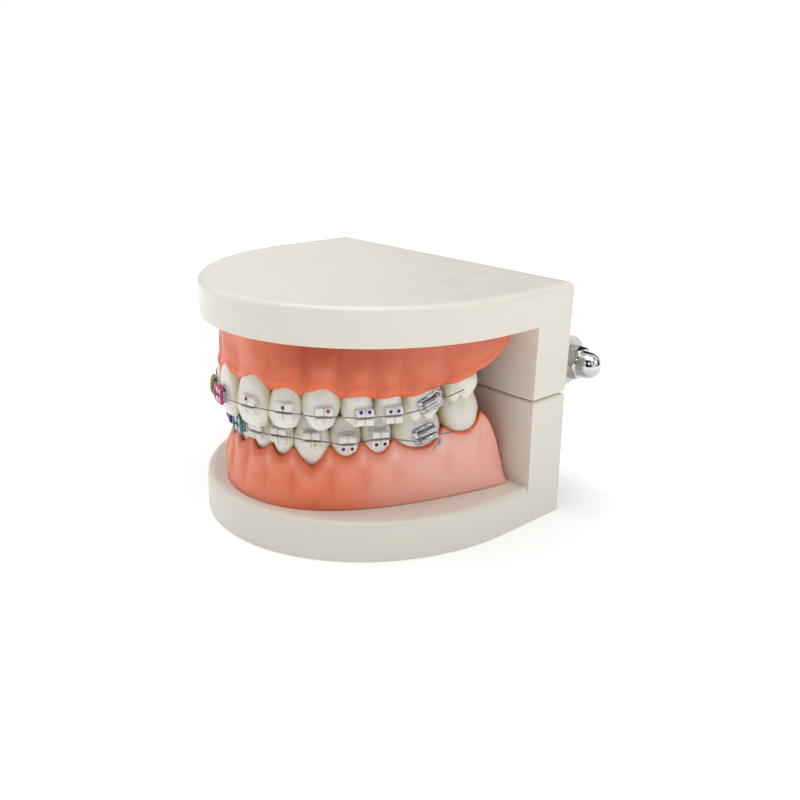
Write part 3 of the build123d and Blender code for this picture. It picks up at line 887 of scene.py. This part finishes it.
def blurred(values, width):
    """Values smoothed along the arch."""
    reach = int(3 * width / STATION_STEP) + 1
    weights = np.exp(-((np.arange(-reach, reach + 1) * STATION_STEP / width) ** 2) / 2)
    padded = np.pad(values, reach, mode="edge")
    return np.convolve(padded, weights / weights.sum(), mode="valid")


def margin_lines(jaw, d):
    """Gum line height, outer and inner offsets, root prominence and creases along the arch."""
    edges = edges_of(jaw)
    teeth = jaw.teeth
    reach = np.abs(d)
    kind = np.clip(np.searchsorted(edges, reach, side="right") - 1, 0, len(teeth) - 1)

    def by_tooth(field):
        return np.array([getattr(tooth, field) for tooth in teeth])[kind]

    half = by_tooth("width") / 2
    along = reach - edges[kind] - half
    from_middle = along / half
    from_middle = from_middle - jaw.lean * (1 - from_middle**2)
    share = np.clip(np.abs(from_middle), 0, 1)
    gum_line = by_tooth("gum_line")
    papillae = np.array(jaw.papillae)
    papilla = np.where(from_middle < 0, papillae[kind], papillae[kind + 1])
    height = gum_line + (papilla - gum_line) * share ** by_tooth("power")
    at_root, between = jaw.margin
    outer = at_root + (between - at_root) * share**MARGIN_POWER
    for index in range(len(teeth)):
        here = kind == index
        level = tooth_level(jaw, index, height[here])
        outer[here] = np.maximum(outer[here], face_offset(jaw, index, along[here], level) + LAP)
    crease = hump(share, 1, CREASE_WIDE) * (reach > 1) * (reach < edges[-1] - 1)
    bulge = by_tooth("root") * (1 - 2 * share ** jaw.valley)
    middles = edges[:-1] + np.diff(edges) / 2
    depth = np.interp(reach, middles, [tooth.depth for tooth in teeth])
    over_crown, at_papilla = INNER_LAP
    inner = jaw.face - depth * TONGUE_FACE + over_crown + at_papilla * share**MARGIN_POWER
    return [blurred(*pair) for pair in zip((height, outer, inner, bulge, crease), BLURS.values())]


def bezier(a, b, c, t):
    return (1 - t) ** 2 * a + 2 * t * (1 - t) * b + t**2 * c


def gum_sections(jaw, d):
    """Offset, height and painted layers of each point round the gum, at each distance."""
    height, outer, inner, bulge, crease = margin_lines(jaw, d)
    foot_out, foot_in = jaw.foot
    belly_out, belly_in = jaw.belly
    foot = jaw.foot_z
    # painted shade and painted sheen, by distance from the midline
    shade = np.interp(np.abs(d), *zip(*jaw.shade))
    pale = np.interp(np.abs(d), *zip(*jaw.pale))
    rows = []

    def add(*values):
        rows.append([value + 0 * d for value in values])

    def near_margin(t):
        return np.exp(-((1 - t) * abs(height - foot) / RIM_REACH))

    for t in np.linspace(0, 1, OUTER_WALL, endpoint=False):
        fold = jaw.crease * crease * hump(t, *FOLD_AT)
        swell = bulge * sin(pi * t**BULGE_POWER) * jaw.swell + fold + COLLAR * hump(t, *COLLAR_AT)
        # painted highlight: paler gum on the bulges' tops and at the papilla folds, with painted
        # sheen
        ridge = jaw.ridge * np.clip(bulge, 0, 1) * hump(t, *HIGHLIGHT_AT) + pale + fold
        # painted shade: darker gum down at the plate, and in the dips between the roots
        deep = shade * hump(t, *PLATE_SHADE_AT) + DIP_SHADE * np.clip(-bulge, 0, 1) * sin(pi * t)
        offset = bezier(foot_out, belly_out, outer, t) + swell
        add(offset, foot + (height - foot) * t, RIM_OUTER * near_margin(t), ridge, deep)
    for inwards, rise in LIP:
        add(outer + inwards, height + jaw.way * rise, RIM_LIP, 0, 0)
    half, sunk = TROUGH
    for side in (half, -half):
        add((outer + inner) / 2 + side, height - jaw.way * sunk, RIM_LIP, 0, 0)
    for inwards, rise in reversed(LIP):
        add(inner - inwards, height + jaw.way * rise, RIM_LIP, 0, 0)
    for t in np.linspace(1, 0, INNER_WALL)[1:]:
        offset = bezier(foot_in, belly_in, inner, t) - INNER_BULGE * bulge * sin(pi * t)
        add(offset, foot + (height - foot) * t, RIM_INNER * near_margin(t), 0, 0)
    return np.array(rows).transpose(2, 1, 0)


def rear_end(jaw, last, start):
    """Sections that close the gum at one end: the last one shrinks as it runs back."""
    foot = jaw.foot_z
    middle = sum(jaw.foot) / 2
    halfway = (middle + jaw.foot[0]) / 2
    far = GRID[np.argmax(arch_xy(GRID, halfway)[1] > jaw.rear)]
    start_xy = arch_xy(station(np.array(start), jaw.pitch), halfway)
    run = np.hypot(*(np.array(arch_xy(far, halfway)) - start_xy))
    off, level, rim, ridge, deep = last
    for step in range(1, CAP_STEPS + 1):
        angle = pi / 2 * step / CAP_STEPS
        tall = max(max(cos(angle), 0.0) ** (2 / CAP_POWER), CAP_END)
        narrow = END_NARROW[0] + (1 - END_NARROW[0]) * tall ** END_NARROW[1]
        shrunk = (middle + (off - middle) * narrow, foot + (level - foot) * tall)
        reach = start + run * sin(angle) ** (2 / CAP_POWER)
        # the painted highlight and painted shade run on unchanged to the closed end
        yield reach, (*shrunk, rim * tall * RIM_END, ridge, deep)


def gum_ridge(jaw):
    """The horseshoe with scalloped margins, root bulges and a rounded rear end on each side."""
    body_end = edges_of(jaw)[-1] + 0.3
    d = np.linspace(-body_end, body_end, 2 * int(body_end / STATION_STEP) + 1)
    sections = gum_sections(jaw, d)
    first, last = [list(rear_end(jaw, sections[end], body_end)) for end in (0, -1)]
    rows = [(-reach, values) for reach, values in reversed(first)]
    rows += list(zip(d, sections)) + last
    points, paints = [], []
    for reach, (off, level, *layers) in rows:
        px, py = arch_xy(station(np.array(reach), jaw.pitch), off)
        points.append(np.stack([px, py, level], axis=1))
        paints.append(np.stack(layers))
    faces = grid_faces(len(rows), len(points[0]), ends="both")
    return np.concatenate(points), faces, dict(zip(LAYERS, np.concatenate(paints, axis=1)))


UNEVEN = ((0.22, 0.22), (0.7, 0.06))  # waves per millimetre, and height


def soft_relief(points, foot):
    """Gentle unevenness of the moulded gum, fading out at the foot."""
    bump = np.array(
        [sum(high * noise.noise(Vector(p) * often) for often, high in UNEVEN) for p in points]
    )
    fade = ramp(np.abs(points[:, 2] - foot), 0, 3)
    away = points[:, :2] - np.array([0.0, 4.0])
    away /= np.linalg.norm(away, axis=1)[:, None]
    moved = points.copy()
    moved[:, :2] += away * (bump * fade)[:, None]
    return moved


PALATE_EDGE = -10.5  # offset of the palate's border, inside the ridge
PALATE_ROWS = 60
PALATE_COLUMNS = 60
VAULT_TOP = 44.6
VAULT_SIDE = 40.6
FRONT_DIP = (3.2, 4.5)  # how far the vault comes down at its front, and over which length
SEAM = (0.35, 0.7)  # height and half width of the ridge along the middle
RUGAE = (0.45, 3.4)  # height and spacing of the folds behind the front teeth
BUD = (0.7, 1.1, 2.0)  # height, half width and half length of the papilla


def palate_mesh(first_y, last_y):
    """Vault of the palate with its rugae, closed by a flat back against the plate."""
    line_x, line_y = arch_xy(GRID, PALATE_EDGE)
    u = np.linspace(-1, 1, PALATE_COLUMNS)
    points = []
    for y in np.linspace(first_y, last_y, PALATE_ROWS):
        x = u * np.interp(y, line_y, line_x)
        from_front = y - first_y
        z = VAULT_TOP - (VAULT_TOP - VAULT_SIDE) * np.abs(u) ** 2.6
        z -= FRONT_DIP[0] * hump(from_front, 0, FRONT_DIP[1])
        seam = SEAM[0] * hump(x, 0, SEAM[1]) * ramp(from_front, 3, 6)
        wave = y + 1.6 * np.abs(u) ** 0.8 + 0.5 * np.sin(5 * u)
        folds = RUGAE[0] * np.maximum(0, np.cos(2 * pi * wave / RUGAE[1])) ** 1.5
        folds *= ramp(y, 2, -4) * ramp(np.abs(u), 1 / 12, 1 / 4) * ramp(np.abs(u), 1, 3 / 4)
        papilla = BUD[0] * hump(x, 0, BUD[1]) * hump(from_front, 3.5, BUD[2])
        points.append(np.stack([x, np.full_like(u, y), z - seam - folds - papilla], axis=1))
    under = np.concatenate(points)
    over = under.copy()
    over[:, 2] = PLATE_UNDER
    faces = grid_faces(PALATE_ROWS, PALATE_COLUMNS, around=False)
    size = len(under)
    faces += [tuple(size + i for i in face[::-1]) for face in faces]
    grid = np.arange(size).reshape(PALATE_ROWS, PALATE_COLUMNS)
    border = (grid[0], grid[1:, -1], grid[-1, -2::-1], grid[-2:0:-1, 0])
    loop = [int(i) for side in border for i in side]
    faces += [(a, b, size + b, size + a) for a, b in zip(loop, loop[1:] + loop[:1])]
    return np.concatenate([under, over]), faces


def make_gums():
    for jaw in (LOWER, UPPER):
        points, faces, paint = gum_ridge(jaw)
        points = soft_relief(points, jaw.foot_z)
        if jaw is UPPER:
            first_y = arch_xy(0.0, PALATE_EDGE)[1] + 0.6
            extra, extra_faces = palate_mesh(first_y, jaw.rear - 3)
            faces += [tuple(len(points) + i for i in face) for face in extra_faces]
            points = np.concatenate([points, extra])
            bare = np.zeros(len(extra))
            paint = {layer: np.concatenate([values, bare]) for layer, values in paint.items()}
        node = jaw.name + "_gum"
        make_piece(node + "_tissue", points, faces, GUM, jaw.body, "gum", [node], paint)


# ---------------------------------------------------------------- orthodontic appliance


class Seat:
    """Place of a bracket on a tooth's face: along the arch, towards the gum, and outwards."""

    def __init__(self, jaw, kind, z, tilt=0.0, shift=0.0):
        self.jaw, self.kind, self.z = jaw, kind, z
        self.tilt = radians(tilt)  # raises the rear end
        self.shift = shift
        middle = edges_of(jaw)[kind] + jaw.teeth[kind].width / 2
        x = station(np.array(middle + shift), jaw.pitch)
        self.origin, self.along, self.out = local_frame(x)
        self.face = float(face_offset(jaw, kind, shift, tooth_level(jaw, kind, z)))

    def place(self, points):
        """Points (along, towards the gum, outwards from the tooth's face) in the CAD frame."""
        along, up, out = np.asarray(points, float).T
        rise = -self.jaw.way * up
        back = along * cos(self.tilt) - rise * sin(self.tilt)
        placed = self.origin + np.outer(back, self.along) + np.outer(self.face + out, self.out)
        placed[:, 2] = self.z + along * sin(self.tilt) + rise * cos(self.tilt)
        return placed

    def sag(self, along, up):
        """How far the tooth's face lies behind the seat at a place on the pad."""
        level = tooth_level(self.jaw, self.kind, self.z - self.jaw.way * up)
        return face_offset(self.jaw, self.kind, along + self.shift, level) - self.face


WIRE_OUT = 1.05  # the wire's middle, outwards from a tooth's face
WIRE_R = 0.14
SLOT_HALF = 0.28
SLOT_FLOOR = 0.78
FACE_OUT = 1.4  # outer face of a bracket
BRACKET_HALF = 1.8  # half its height
BRACKET_WEB = (0.72, 1.0)  # the web's height as a share of the wings', and its outer face
WEB_LAP = 0.1  # how far the web between the wings runs into them
PAD = (4.7, 4.5, 0.3)  # width, height and thickness
CANINE_PAD = 4.1  # width, on the narrower face
PAD_AROUND = 48
PAD_RINGS = 7
PAD_POWER = 4.5
PAD_EDGE = 0.2  # how much thinner a pad is at its edge
PAD_SUNK = 0.15
CERAMIC_JAG, STEEL_JAG, TUBE_JAG = 0.2, 0.0, 0.03  # raggedness of the pads' edges
CERAMIC_EDGE, STEEL_EDGE, TUBE_EDGE = 0.22, 0.1, 0.07  # width of the rounded edges
CERAMIC_SEED = 31  # of the first ragged edge


def pad_shell(seat, size, thick, jag, seed):
    """Bonding pad that follows the tooth's face, with a more or less ragged edge."""
    draw = random.Random(seed)
    edge = superellipse(turns(PAD_AROUND), PAD_POWER)
    ragged = [jag * draw.uniform(-1, 0.6) * (1 if k % 2 else 0.3) for k in range(PAD_AROUND)]
    rough = 1 + np.array(ragged)
    points, faces = [], []
    for lift, thinner in ((thick, PAD_EDGE), (-PAD_SUNK, 0.0)):
        first = len(points)
        for ring in range(PAD_RINGS):
            keep = rough * (1 - ring / PAD_RINGS)
            u, v = edge[0] * size[0] / 2 * keep, edge[1] * size[1] / 2 * keep
            sag = np.array([float(seat.sag(a, b)) for a, b in zip(u, v)])
            drop = thinner if ring == 0 else 0.0
            points += list(seat.place(np.stack([u, v, sag + lift - drop], axis=1)))
        faces += grid_faces(PAD_RINGS, PAD_AROUND, first, ends="end")
    faces += ring_bridge(0, PAD_RINGS * PAD_AROUND, PAD_AROUND)
    return points, faces


def wing_profile(half, floor, face):
    """Outline of a tie-wing bracket seen from the side: (towards the gum, outwards)."""
    one = [
        (SLOT_HALF, floor),
        (SLOT_HALF, face),
        (half - 0.35, face),
        (half, face - 0.35),
        (half, face - 0.65),
        (half - 0.55, face - 0.8),
        (half - 0.8, 0.4),
        (half - 0.7, 0.2),
    ]
    return one + [(-y, out) for y, out in reversed(one)]


def prism(profile, start, end):
    """Profile (y, out) pulled along the arch between two places."""
    count = len(profile)
    points = [(along, y, out) for along in (start, end) for y, out in profile]
    return points, grid_faces(2, count, ends="both")


def bracket_shell(pile, seat, wide, gap):
    """Four tie wings on a neck, parted by the slot and a middle gap that a lower web bridges."""
    wings = wing_profile(BRACKET_HALF, SLOT_FLOOR, FACE_OUT)
    web = [(y * BRACKET_WEB[0], min(out, BRACKET_WEB[1])) for y, out in wings]
    reach = gap + WEB_LAP
    for start, end, profile in ((-wide, -gap, wings), (gap, wide, wings), (-reach, reach, web)):
        points, faces = prism(profile, start, end)
        pile.add(seat.place(points), faces)


DOT = (0.42, 0.2, 0.04)  # radius, height and depth sunk in
DOT_AROUND = 20
DOT_RINGS = 5


def dome(radius, height):
    """Small lens-shaped dot, (along, up, out) about its own centre."""
    points = []
    for tilt in pi / 2 * np.arange(DOT_RINGS + 1) / DOT_RINGS:
        reach, up = radius * cos(tilt), height * sin(tilt)
        points += [(reach * cos(turn), reach * sin(turn), up) for turn in turns(DOT_AROUND)]
    return np.array(points), grid_faces(DOT_RINGS + 1, DOT_AROUND, ends="start")


# Identification dots of the ceramic brackets: tooth, colour, height, and places along the arch.
DOTS = {
    "upper": [
        (0, "dark_red", 1.55, (-0.1,)),
        (1, "dark_green", 1.05, (0.0,)),
        (2, "dark_red", 1.35, (0.85,)),
        (3, "blue", 1.3, (-0.9, 0.9)),
        (4, "blue", 1.0, (-0.85, 0.85)),
    ],
    "lower": [
        (2, "yellow", 1.0, (0.9,)),
        (3, "maroon", 1.05, (-0.95, 0.95)),
        (4, "black", 1.15, (-0.95, 0.95)),
    ],
}
CERAMIC_WING = (1.8, 0.08)  # half widths of the bracket and of the gap between its wings
STEEL_WING = (1.7, 0.34)
STEEL_PAD = (3.9, 3.7, 0.35)
RING_HALF = (1.8, 1.9)
RING_OUT = (0.75, 0.5)  # at the wings, and how much further out over the wire
RING_R = 0.42
RING_AROUND = 48
RING_POWER = 2.5
RING_BEND = 2.2
RING_SIDES = 12


def make_fittings(jaw, kind, ending, shells, material, slot, width, segments=2):
    """One piece with rounded edges for all the fittings of a kind in a jaw."""
    node = f"{jaw.name}_{kind}"
    piece = make_piece(node + ending, *shells, material, jaw.body, slot, [node])
    soften(piece, width, segments)


def make_dots(jaw, seats):
    radius, height, sunk = DOT
    points, faces = dome(radius, height)
    for kind, colour, up, places in DOTS[jaw.name]:
        material = DOT_MATERIALS[colour]
        for index, along in enumerate(places):
            placed = seats[kind].place(points + (along, up, FACE_OUT - sunk))
            name = f"{jaw.name}_dot_{jaw.teeth[kind].name}_{index}"
            make_piece(name, placed, faces, material, jaw.body, "bracket_ceramic")


def make_ceramic(jaw, seats):
    pile = Pile()
    for kind, seat in enumerate(seats):
        pad = (CANINE_PAD if kind == CANINE else PAD[0], PAD[1])
        pile.add(*pad_shell(seat, pad, PAD[2], CERAMIC_JAG, CERAMIC_SEED + kind))
        bracket_shell(pile, seat, *CERAMIC_WING)
    shells = (pile.points, pile.faces)
    slot = "bracket_ceramic"
    make_fittings(jaw, "ceramic_brackets", "_left", shells, CERAMIC, slot, CERAMIC_EDGE, 3)


def ring_shell(seat):
    """Elastic ring: behind the wings above and below, and over the wire at both sides."""
    turn = turns(RING_AROUND)
    u, v = superellipse(turn, RING_POWER)
    near, further = RING_OUT
    out = near + further * np.abs(np.cos(turn)) ** RING_BEND
    path = seat.place(np.stack([RING_HALF[0] * u, RING_HALF[1] * v, out], axis=1))
    return tube(path, RING_R, RING_SIDES, closed=True)


def make_metal(jaw, seats):
    pile = Pile()
    for kind, seat in enumerate(seats):
        pile.add(*pad_shell(seat, STEEL_PAD[:2], STEEL_PAD[2], STEEL_JAG, 3))
        bracket_shell(pile, seat, *STEEL_WING)
        slot, material = RING_MATERIALS[jaw.name][kind]
        node = f"{jaw.name}_ligature_{jaw.teeth[kind].name}"
        ring, faces = ring_shell(seat)
        placed = np.array(ring) * MIRROR
        make_piece(node + "_ring", placed, faces, material, jaw.body, slot, [node])
    shells = pile.mirrored()
    make_fittings(jaw, "metal_brackets", "_right", shells, STEEL, "bracket_steel", STEEL_EDGE)


TUBE_PAD = (5.7, 3.9, 0.42)
TUBE_FRONT = -1.7  # ends of the rails along the pad
TUBE_REAR = 2.55
RAIL = 0.72  # a rail's height above or below the tube's middle
RAIL_R = 0.56
RAIL_OUT = 1.05
RAIL_CHAMFER = 0.12
RAIL_AROUND = 24
WEB_OUT = (0.1, 0.9)
WEB_INSET = 0.15
BORE_R = 0.3
BORE_WALL = 0.06  # how much wider the bored rail is
HOOK = [(2.2, 1.0, 1.1), (2.5, 1.6, 1.4), (2.4, 2.3, 1.7), (1.75, 2.9, 1.9), (0.85, 2.95, 2.0)]
HOOK_R = 0.35


def rail_shell(middle, outer, inner):
    """Round rail with chamfered ends at a height on the pad, bored where inner isn't 0."""
    stops = [
        (TUBE_FRONT, outer - RAIL_CHAMFER),
        (TUBE_FRONT + RAIL_CHAMFER, outer),
        (TUBE_REAR - RAIL_CHAMFER, outer),
        (TUBE_REAR, outer - RAIL_CHAMFER),
    ]
    if inner:
        stops += [(TUBE_REAR, inner), (TUBE_FRONT, inner)]
    points = [
        (along, middle + radius * cos(turn), RAIL_OUT + radius * sin(turn))
        for along, radius in stops
        for turn in turns(RAIL_AROUND)
    ]
    faces = grid_faces(len(stops), RAIL_AROUND, ends="" if inner else "both")
    if inner:
        faces += ring_bridge((len(stops) - 1) * RAIL_AROUND, 0, RAIL_AROUND)
    return points, faces


def tube_shell(seat, bore):
    """Molar tube: a pad, two round rails on a web, the wire's bore, and a hook."""
    pile = Pile()
    pile.add(*pad_shell(seat, TUBE_PAD[:2], TUBE_PAD[2], TUBE_JAG, 5))
    low, high = WEB_OUT
    web = [(-RAIL, low), (-RAIL, high), (RAIL, high), (RAIL, low)]
    points, faces = prism(web, TUBE_FRONT + WEB_INSET, TUBE_REAR - WEB_INSET)
    pile.add(seat.place(points), faces)
    for middle, outer, inner in (
        (-RAIL, RAIL_R, 0.0),
        (RAIL, RAIL_R, 0.0),
        (bore, RAIL_R + BORE_WALL, BORE_R),
    ):
        points, faces = rail_shell(middle, outer, inner)
        pile.add(seat.place(points), faces)
    pile.add(*tube(seat.place(smooth_path(HOOK, 6)), HOOK_R, 10))
    return pile


def make_tubes(jaw, seat):
    both = tube_shell(seat, jaw.bore)
    both.add(*both.mirrored())
    shells = (both.points, both.faces)
    make_fittings(jaw, "molar_tubes", "_pair", shells, STEEL, "bracket_steel", TUBE_EDGE)


BRACKET_RUN = (-1.5, 1.5)  # stretch of wire held by a bracket
WIRE_WAVE = 0.09
TAIL_RISE = 0.4  # share of its rise that the tail has made halfway
TAIL_IN = (0.25, 0.9)  # how far it bends inwards halfway and at its end


def wire_half(jaw, seats, waves):
    """Places of the wire through the seats of one side, from the midline back."""
    half = []
    for seat in seats:
        in_tube = seat.kind == FIRST_MOLAR
        start, end = (TUBE_FRONT, TUBE_REAR) if in_tube else BRACKET_RUN
        up = jaw.bore if in_tube else 0.0
        for along in (start, (start + end) / 2, end):
            half.append(seat.place([(along, up, WIRE_OUT)])[0])
    tail, tail_up = jaw.tail
    bore = jaw.bore
    middle = (TUBE_REAR + tail / 2, bore + TAIL_RISE * (tail_up - bore), WIRE_OUT - TAIL_IN[0])
    half += list(seats[-1].place([middle, (TUBE_REAR + tail, tail_up, WIRE_OUT - TAIL_IN[1])]))
    half = np.array(half)
    half[:, 2] += waves
    return half


def make_wire(jaw, left, right):
    """Archwire through every slot, with the small bends that it takes between brackets."""
    waves = np.array([rng.uniform(-WIRE_WAVE, WIRE_WAVE) for _ in range(3 * len(left) + 2)])
    other = wire_half(jaw, right, waves)[::-1] * MIRROR
    path = smooth_path(np.concatenate([other, wire_half(jaw, left, waves)]), 6)
    points, faces = tube(path, WIRE_R, 8)
    node = jaw.name + "_archwire"
    make_piece(node + "_bent", points, faces, WIRE, jaw.body, "wire_steel", [node])


def make_appliance(jaw):
    left, right = [
        [Seat(jaw, kind, z, 0.0, shift) for kind, (z, shift) in enumerate(zip(slots, shifts))]
        for slots, shifts in (
            (jaw.slots, jaw.shifts),
            (jaw.right_slots, jaw.right_shifts),
        )
    ]
    tube_seat = Seat(jaw, FIRST_MOLAR, jaw.tube, jaw.tube_tilt, jaw.tube_shift)
    make_ceramic(jaw, left)
    make_dots(jaw, left)
    make_metal(jaw, right)
    make_tubes(jaw, tube_seat)
    make_wire(jaw, left + [tube_seat], right + [tube_seat])


# ---------------------------------------------------------------- acorn nuts

NUT_LONG = 8.85
NUT_FLATS = 7.0
NUT_HEX = 4.3  # thickness of the hexagon
NUT_CHAMFER = 0.55
NUT_CHAMFER_STEPS = 6
NUT_CONE = 1.6  # how steeply the chamfer opens towards the hexagon's corners
NUT_FACE = 0.08  # how much less than across the flats a chamfer is at the nut's faces
NUT_BORE = (2.05, 5.4)  # radius and depth
NUT_AROUND = 72
DOME_R = 3.15
DOME_RINGS = 14


def nut_shell():
    """Acorn nut along the bolt from its seat outwards, from the bottom of its bore to its tip."""
    turn = turns(NUT_AROUND)
    hexagon = NUT_FLATS / 2 / np.cos(turn % (pi / 3) - pi / 6)
    bore_r, bore_end = NUT_BORE
    chamfer = [
        (step, np.minimum(hexagon, NUT_FLATS / 2 - NUT_FACE + NUT_CONE * step))
        for step in np.linspace(0, NUT_CHAMFER, NUT_CHAMFER_STEPS)
    ]
    stops = [(bore_end, bore_r), (0.0, bore_r)] + chamfer
    stops += [(NUT_HEX - step, radius) for step, radius in reversed(chamfer)]
    stops.append((NUT_HEX, DOME_R))
    for ring in range(DOME_RINGS):
        tilt = pi / 2 * ring / DOME_RINGS
        stops.append((NUT_LONG - DOME_R + DOME_R * sin(tilt), DOME_R * cos(tilt)))
    points = [
        np.stack([np.full(NUT_AROUND, along), radius * np.cos(turn), radius * np.sin(turn)], 1)
        for along, radius in stops
    ]
    points.append(np.array([(NUT_LONG, 0.0, 0.0)]))
    faces = grid_faces(len(stops), NUT_AROUND, ends="start")
    tip = len(stops) * NUT_AROUND
    last = tip - NUT_AROUND
    faces += [(last + k, last + (k + 1) % NUT_AROUND, tip) for k in range(NUT_AROUND)]
    return np.concatenate(points), faces


def make_nuts():
    low, high = np.array(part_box("acorn_nuts")) / MM
    _, axis_y, axis_z = (low + high) / 2
    points, faces = nut_shell()
    both = Pile()
    for side in (-1, 1):
        seat = (side * (high[0] - NUT_LONG), axis_y, axis_z)
        both.add(points * (side, 1, 1) + seat, faces)
    name, node = "acorn_nuts_pair", "acorn_nuts"
    piece = make_piece(name, both.points, both.faces, CHROME, "upper_jaw", "nut_chrome", [node])
    piece.data.set_sharp_from_angle(angle=radians(25))


# ---------------------------------------------------------------- the model


def finish_cad_nodes():
    """Better materials on the CAD nodes that stay: the bases and the bolt."""
    for node, material in (
        ("lower_base", PLASTIC),
        ("upper_base", PLASTIC),
        ("hinge_bolt", BOLT),
    ):
        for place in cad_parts[node].material_slots:
            place.material = material


finish_cad_nodes()
for one_jaw in (LOWER, UPPER):
    make_teeth(one_jaw)
    make_appliance(one_jaw)
make_gums()
make_nuts()

# ---------------------------------------------------------------- floor, light and camera


CAMERA_VIEW = (46.294, 19.239)  # azimuth and elevation
CAMERA_ROLL = 1.0875
CAMERA_DISTANCE = 231.73
CAMERA_TARGET = (0.15, 17.84, 20.68)
CAMERA_LENS = 41.228
FLOOR_SIZE = 6.0  # metres
FLOOR_DROP = 0.0001  # metres below the model, so that the two don't share a plane
SKY_STRENGTH = 0.16
PANEL_SEED = 3.1
PANEL_SCALE = 2.2
WHITE = (1, 1, 1, 1)

# Softboxes: azimuth, elevation, distance, width and height in metres, and power in watts.
LIT_POINT = Vector((0, 0, 0.028))
LIGHTS = {
    "top": (0, 86, 0.7, 0.5, 0.5, 3.1),
    "left": (-68, 24, 0.8, 0.5, 0.5, 1.0),
    "right": (112, 22, 0.8, 0.45, 0.45, 0.52),
    "right_high": (95, 60, 0.8, 0.4, 0.4, 1.0),
    "left_high": (-75, 60, 0.8, 0.4, 0.4, 0.6),
    "strip_left": (12, 34, 0.6, 0.02, 0.14, 0.06),
    "strip_middle": (48, 36, 0.6, 0.02, 0.14, 0.06),
    "strip_right": (84, 34, 0.6, 0.02, 0.14, 0.06),
}


def make_floor():
    bpy.ops.mesh.primitive_plane_add(size=FLOOR_SIZE, location=(0, 0, -FLOOR_DROP))
    floor = bpy.context.object
    floor.name = "floor"
    floor.data.materials.append(floor_material())


def aim(name, data, target, azimuth, elevation, distance, roll=0.0):
    """Camera or lamp at a distance from its target, looking at it."""
    azimuth, elevation, roll = radians(azimuth), radians(elevation), radians(roll)
    back = Vector((sin(azimuth) * cos(elevation), -cos(azimuth) * cos(elevation), sin(elevation)))
    level = Vector((cos(azimuth), sin(azimuth), 0))
    steep = back.cross(level)
    right = level * cos(roll) + steep * sin(roll)
    up = steep * cos(roll) - level * sin(roll)
    made = bpy.data.objects.new(name, data)
    turned = Matrix((right, up, back)).transposed().to_4x4()
    made.matrix_world = Matrix.Translation(target + back * distance) @ turned
    bpy.context.collection.objects.link(made)
    return made


def make_camera():
    data = bpy.data.cameras.new("camera")
    data.lens = CAMERA_LENS
    data.sensor_width = 36.0
    data.clip_start = 0.01
    target = Vector(CAMERA_TARGET) * MM
    camera = aim("camera", data, target, *CAMERA_VIEW, CAMERA_DISTANCE * MM, CAMERA_ROLL)
    bpy.context.scene.camera = camera


def make_lights():
    for name, (azimuth, elevation, distance, wide, tall, power) in LIGHTS.items():
        data = bpy.data.lights.new(name, "AREA")
        data.shape = "RECTANGLE"
        data.size = wide
        data.size_y = tall
        data.energy = power
        aim(name, data, LIT_POINT, azimuth, elevation, distance)


def make_world():
    """Dim white sky behind a white background. Shiny pieces also see dark flags between panels."""
    world = bpy.data.worlds.new("studio")
    world.use_nodes = True
    made = Shader(world.node_tree)
    sky = made.tree.nodes["Background"]
    made.feed(sky.inputs["Color"], WHITE)
    made.feed(sky.inputs["Strength"], SKY_STRENGTH)
    panels = made.node("TexNoise")
    panels.noise_dimensions = "4D"
    around = made.node("TexCoord").outputs["Generated"]
    seeds = {"W": PANEL_SEED, "Scale": PANEL_SCALE, "Detail": 1.0, "Vector": around}
    for name, value in seeds.items():
        made.feed(panels.inputs[name], value)
    flags = made.spread(panels.outputs["Fac"], 0.03, 0.9, 0.49, 0.55)
    mirrored = made.node("Background", Color=WHITE, Strength=flags)
    backdrop = made.node("Background", Color=WHITE)
    ray = made.node("LightPath")
    shiny = made.node("MixShader", Fac=ray.outputs["Is Glossy Ray"])
    made.feed(shiny.inputs[1], sky.outputs["Background"])
    made.feed(shiny.inputs[2], mirrored.outputs["Background"])
    seen = made.node("MixShader", Fac=ray.outputs["Is Camera Ray"])
    made.feed(seen.inputs[1], shiny.outputs["Shader"])
    made.feed(seen.inputs[2], backdrop.outputs["Background"])
    made.feed(made.tree.nodes["World Output"].inputs["Surface"], seen.outputs["Shader"])
    bpy.context.scene.world = world


make_floor()
make_camera()
make_lights()
make_world()
bpy.context.scene.view_settings.view_transform = "Standard"
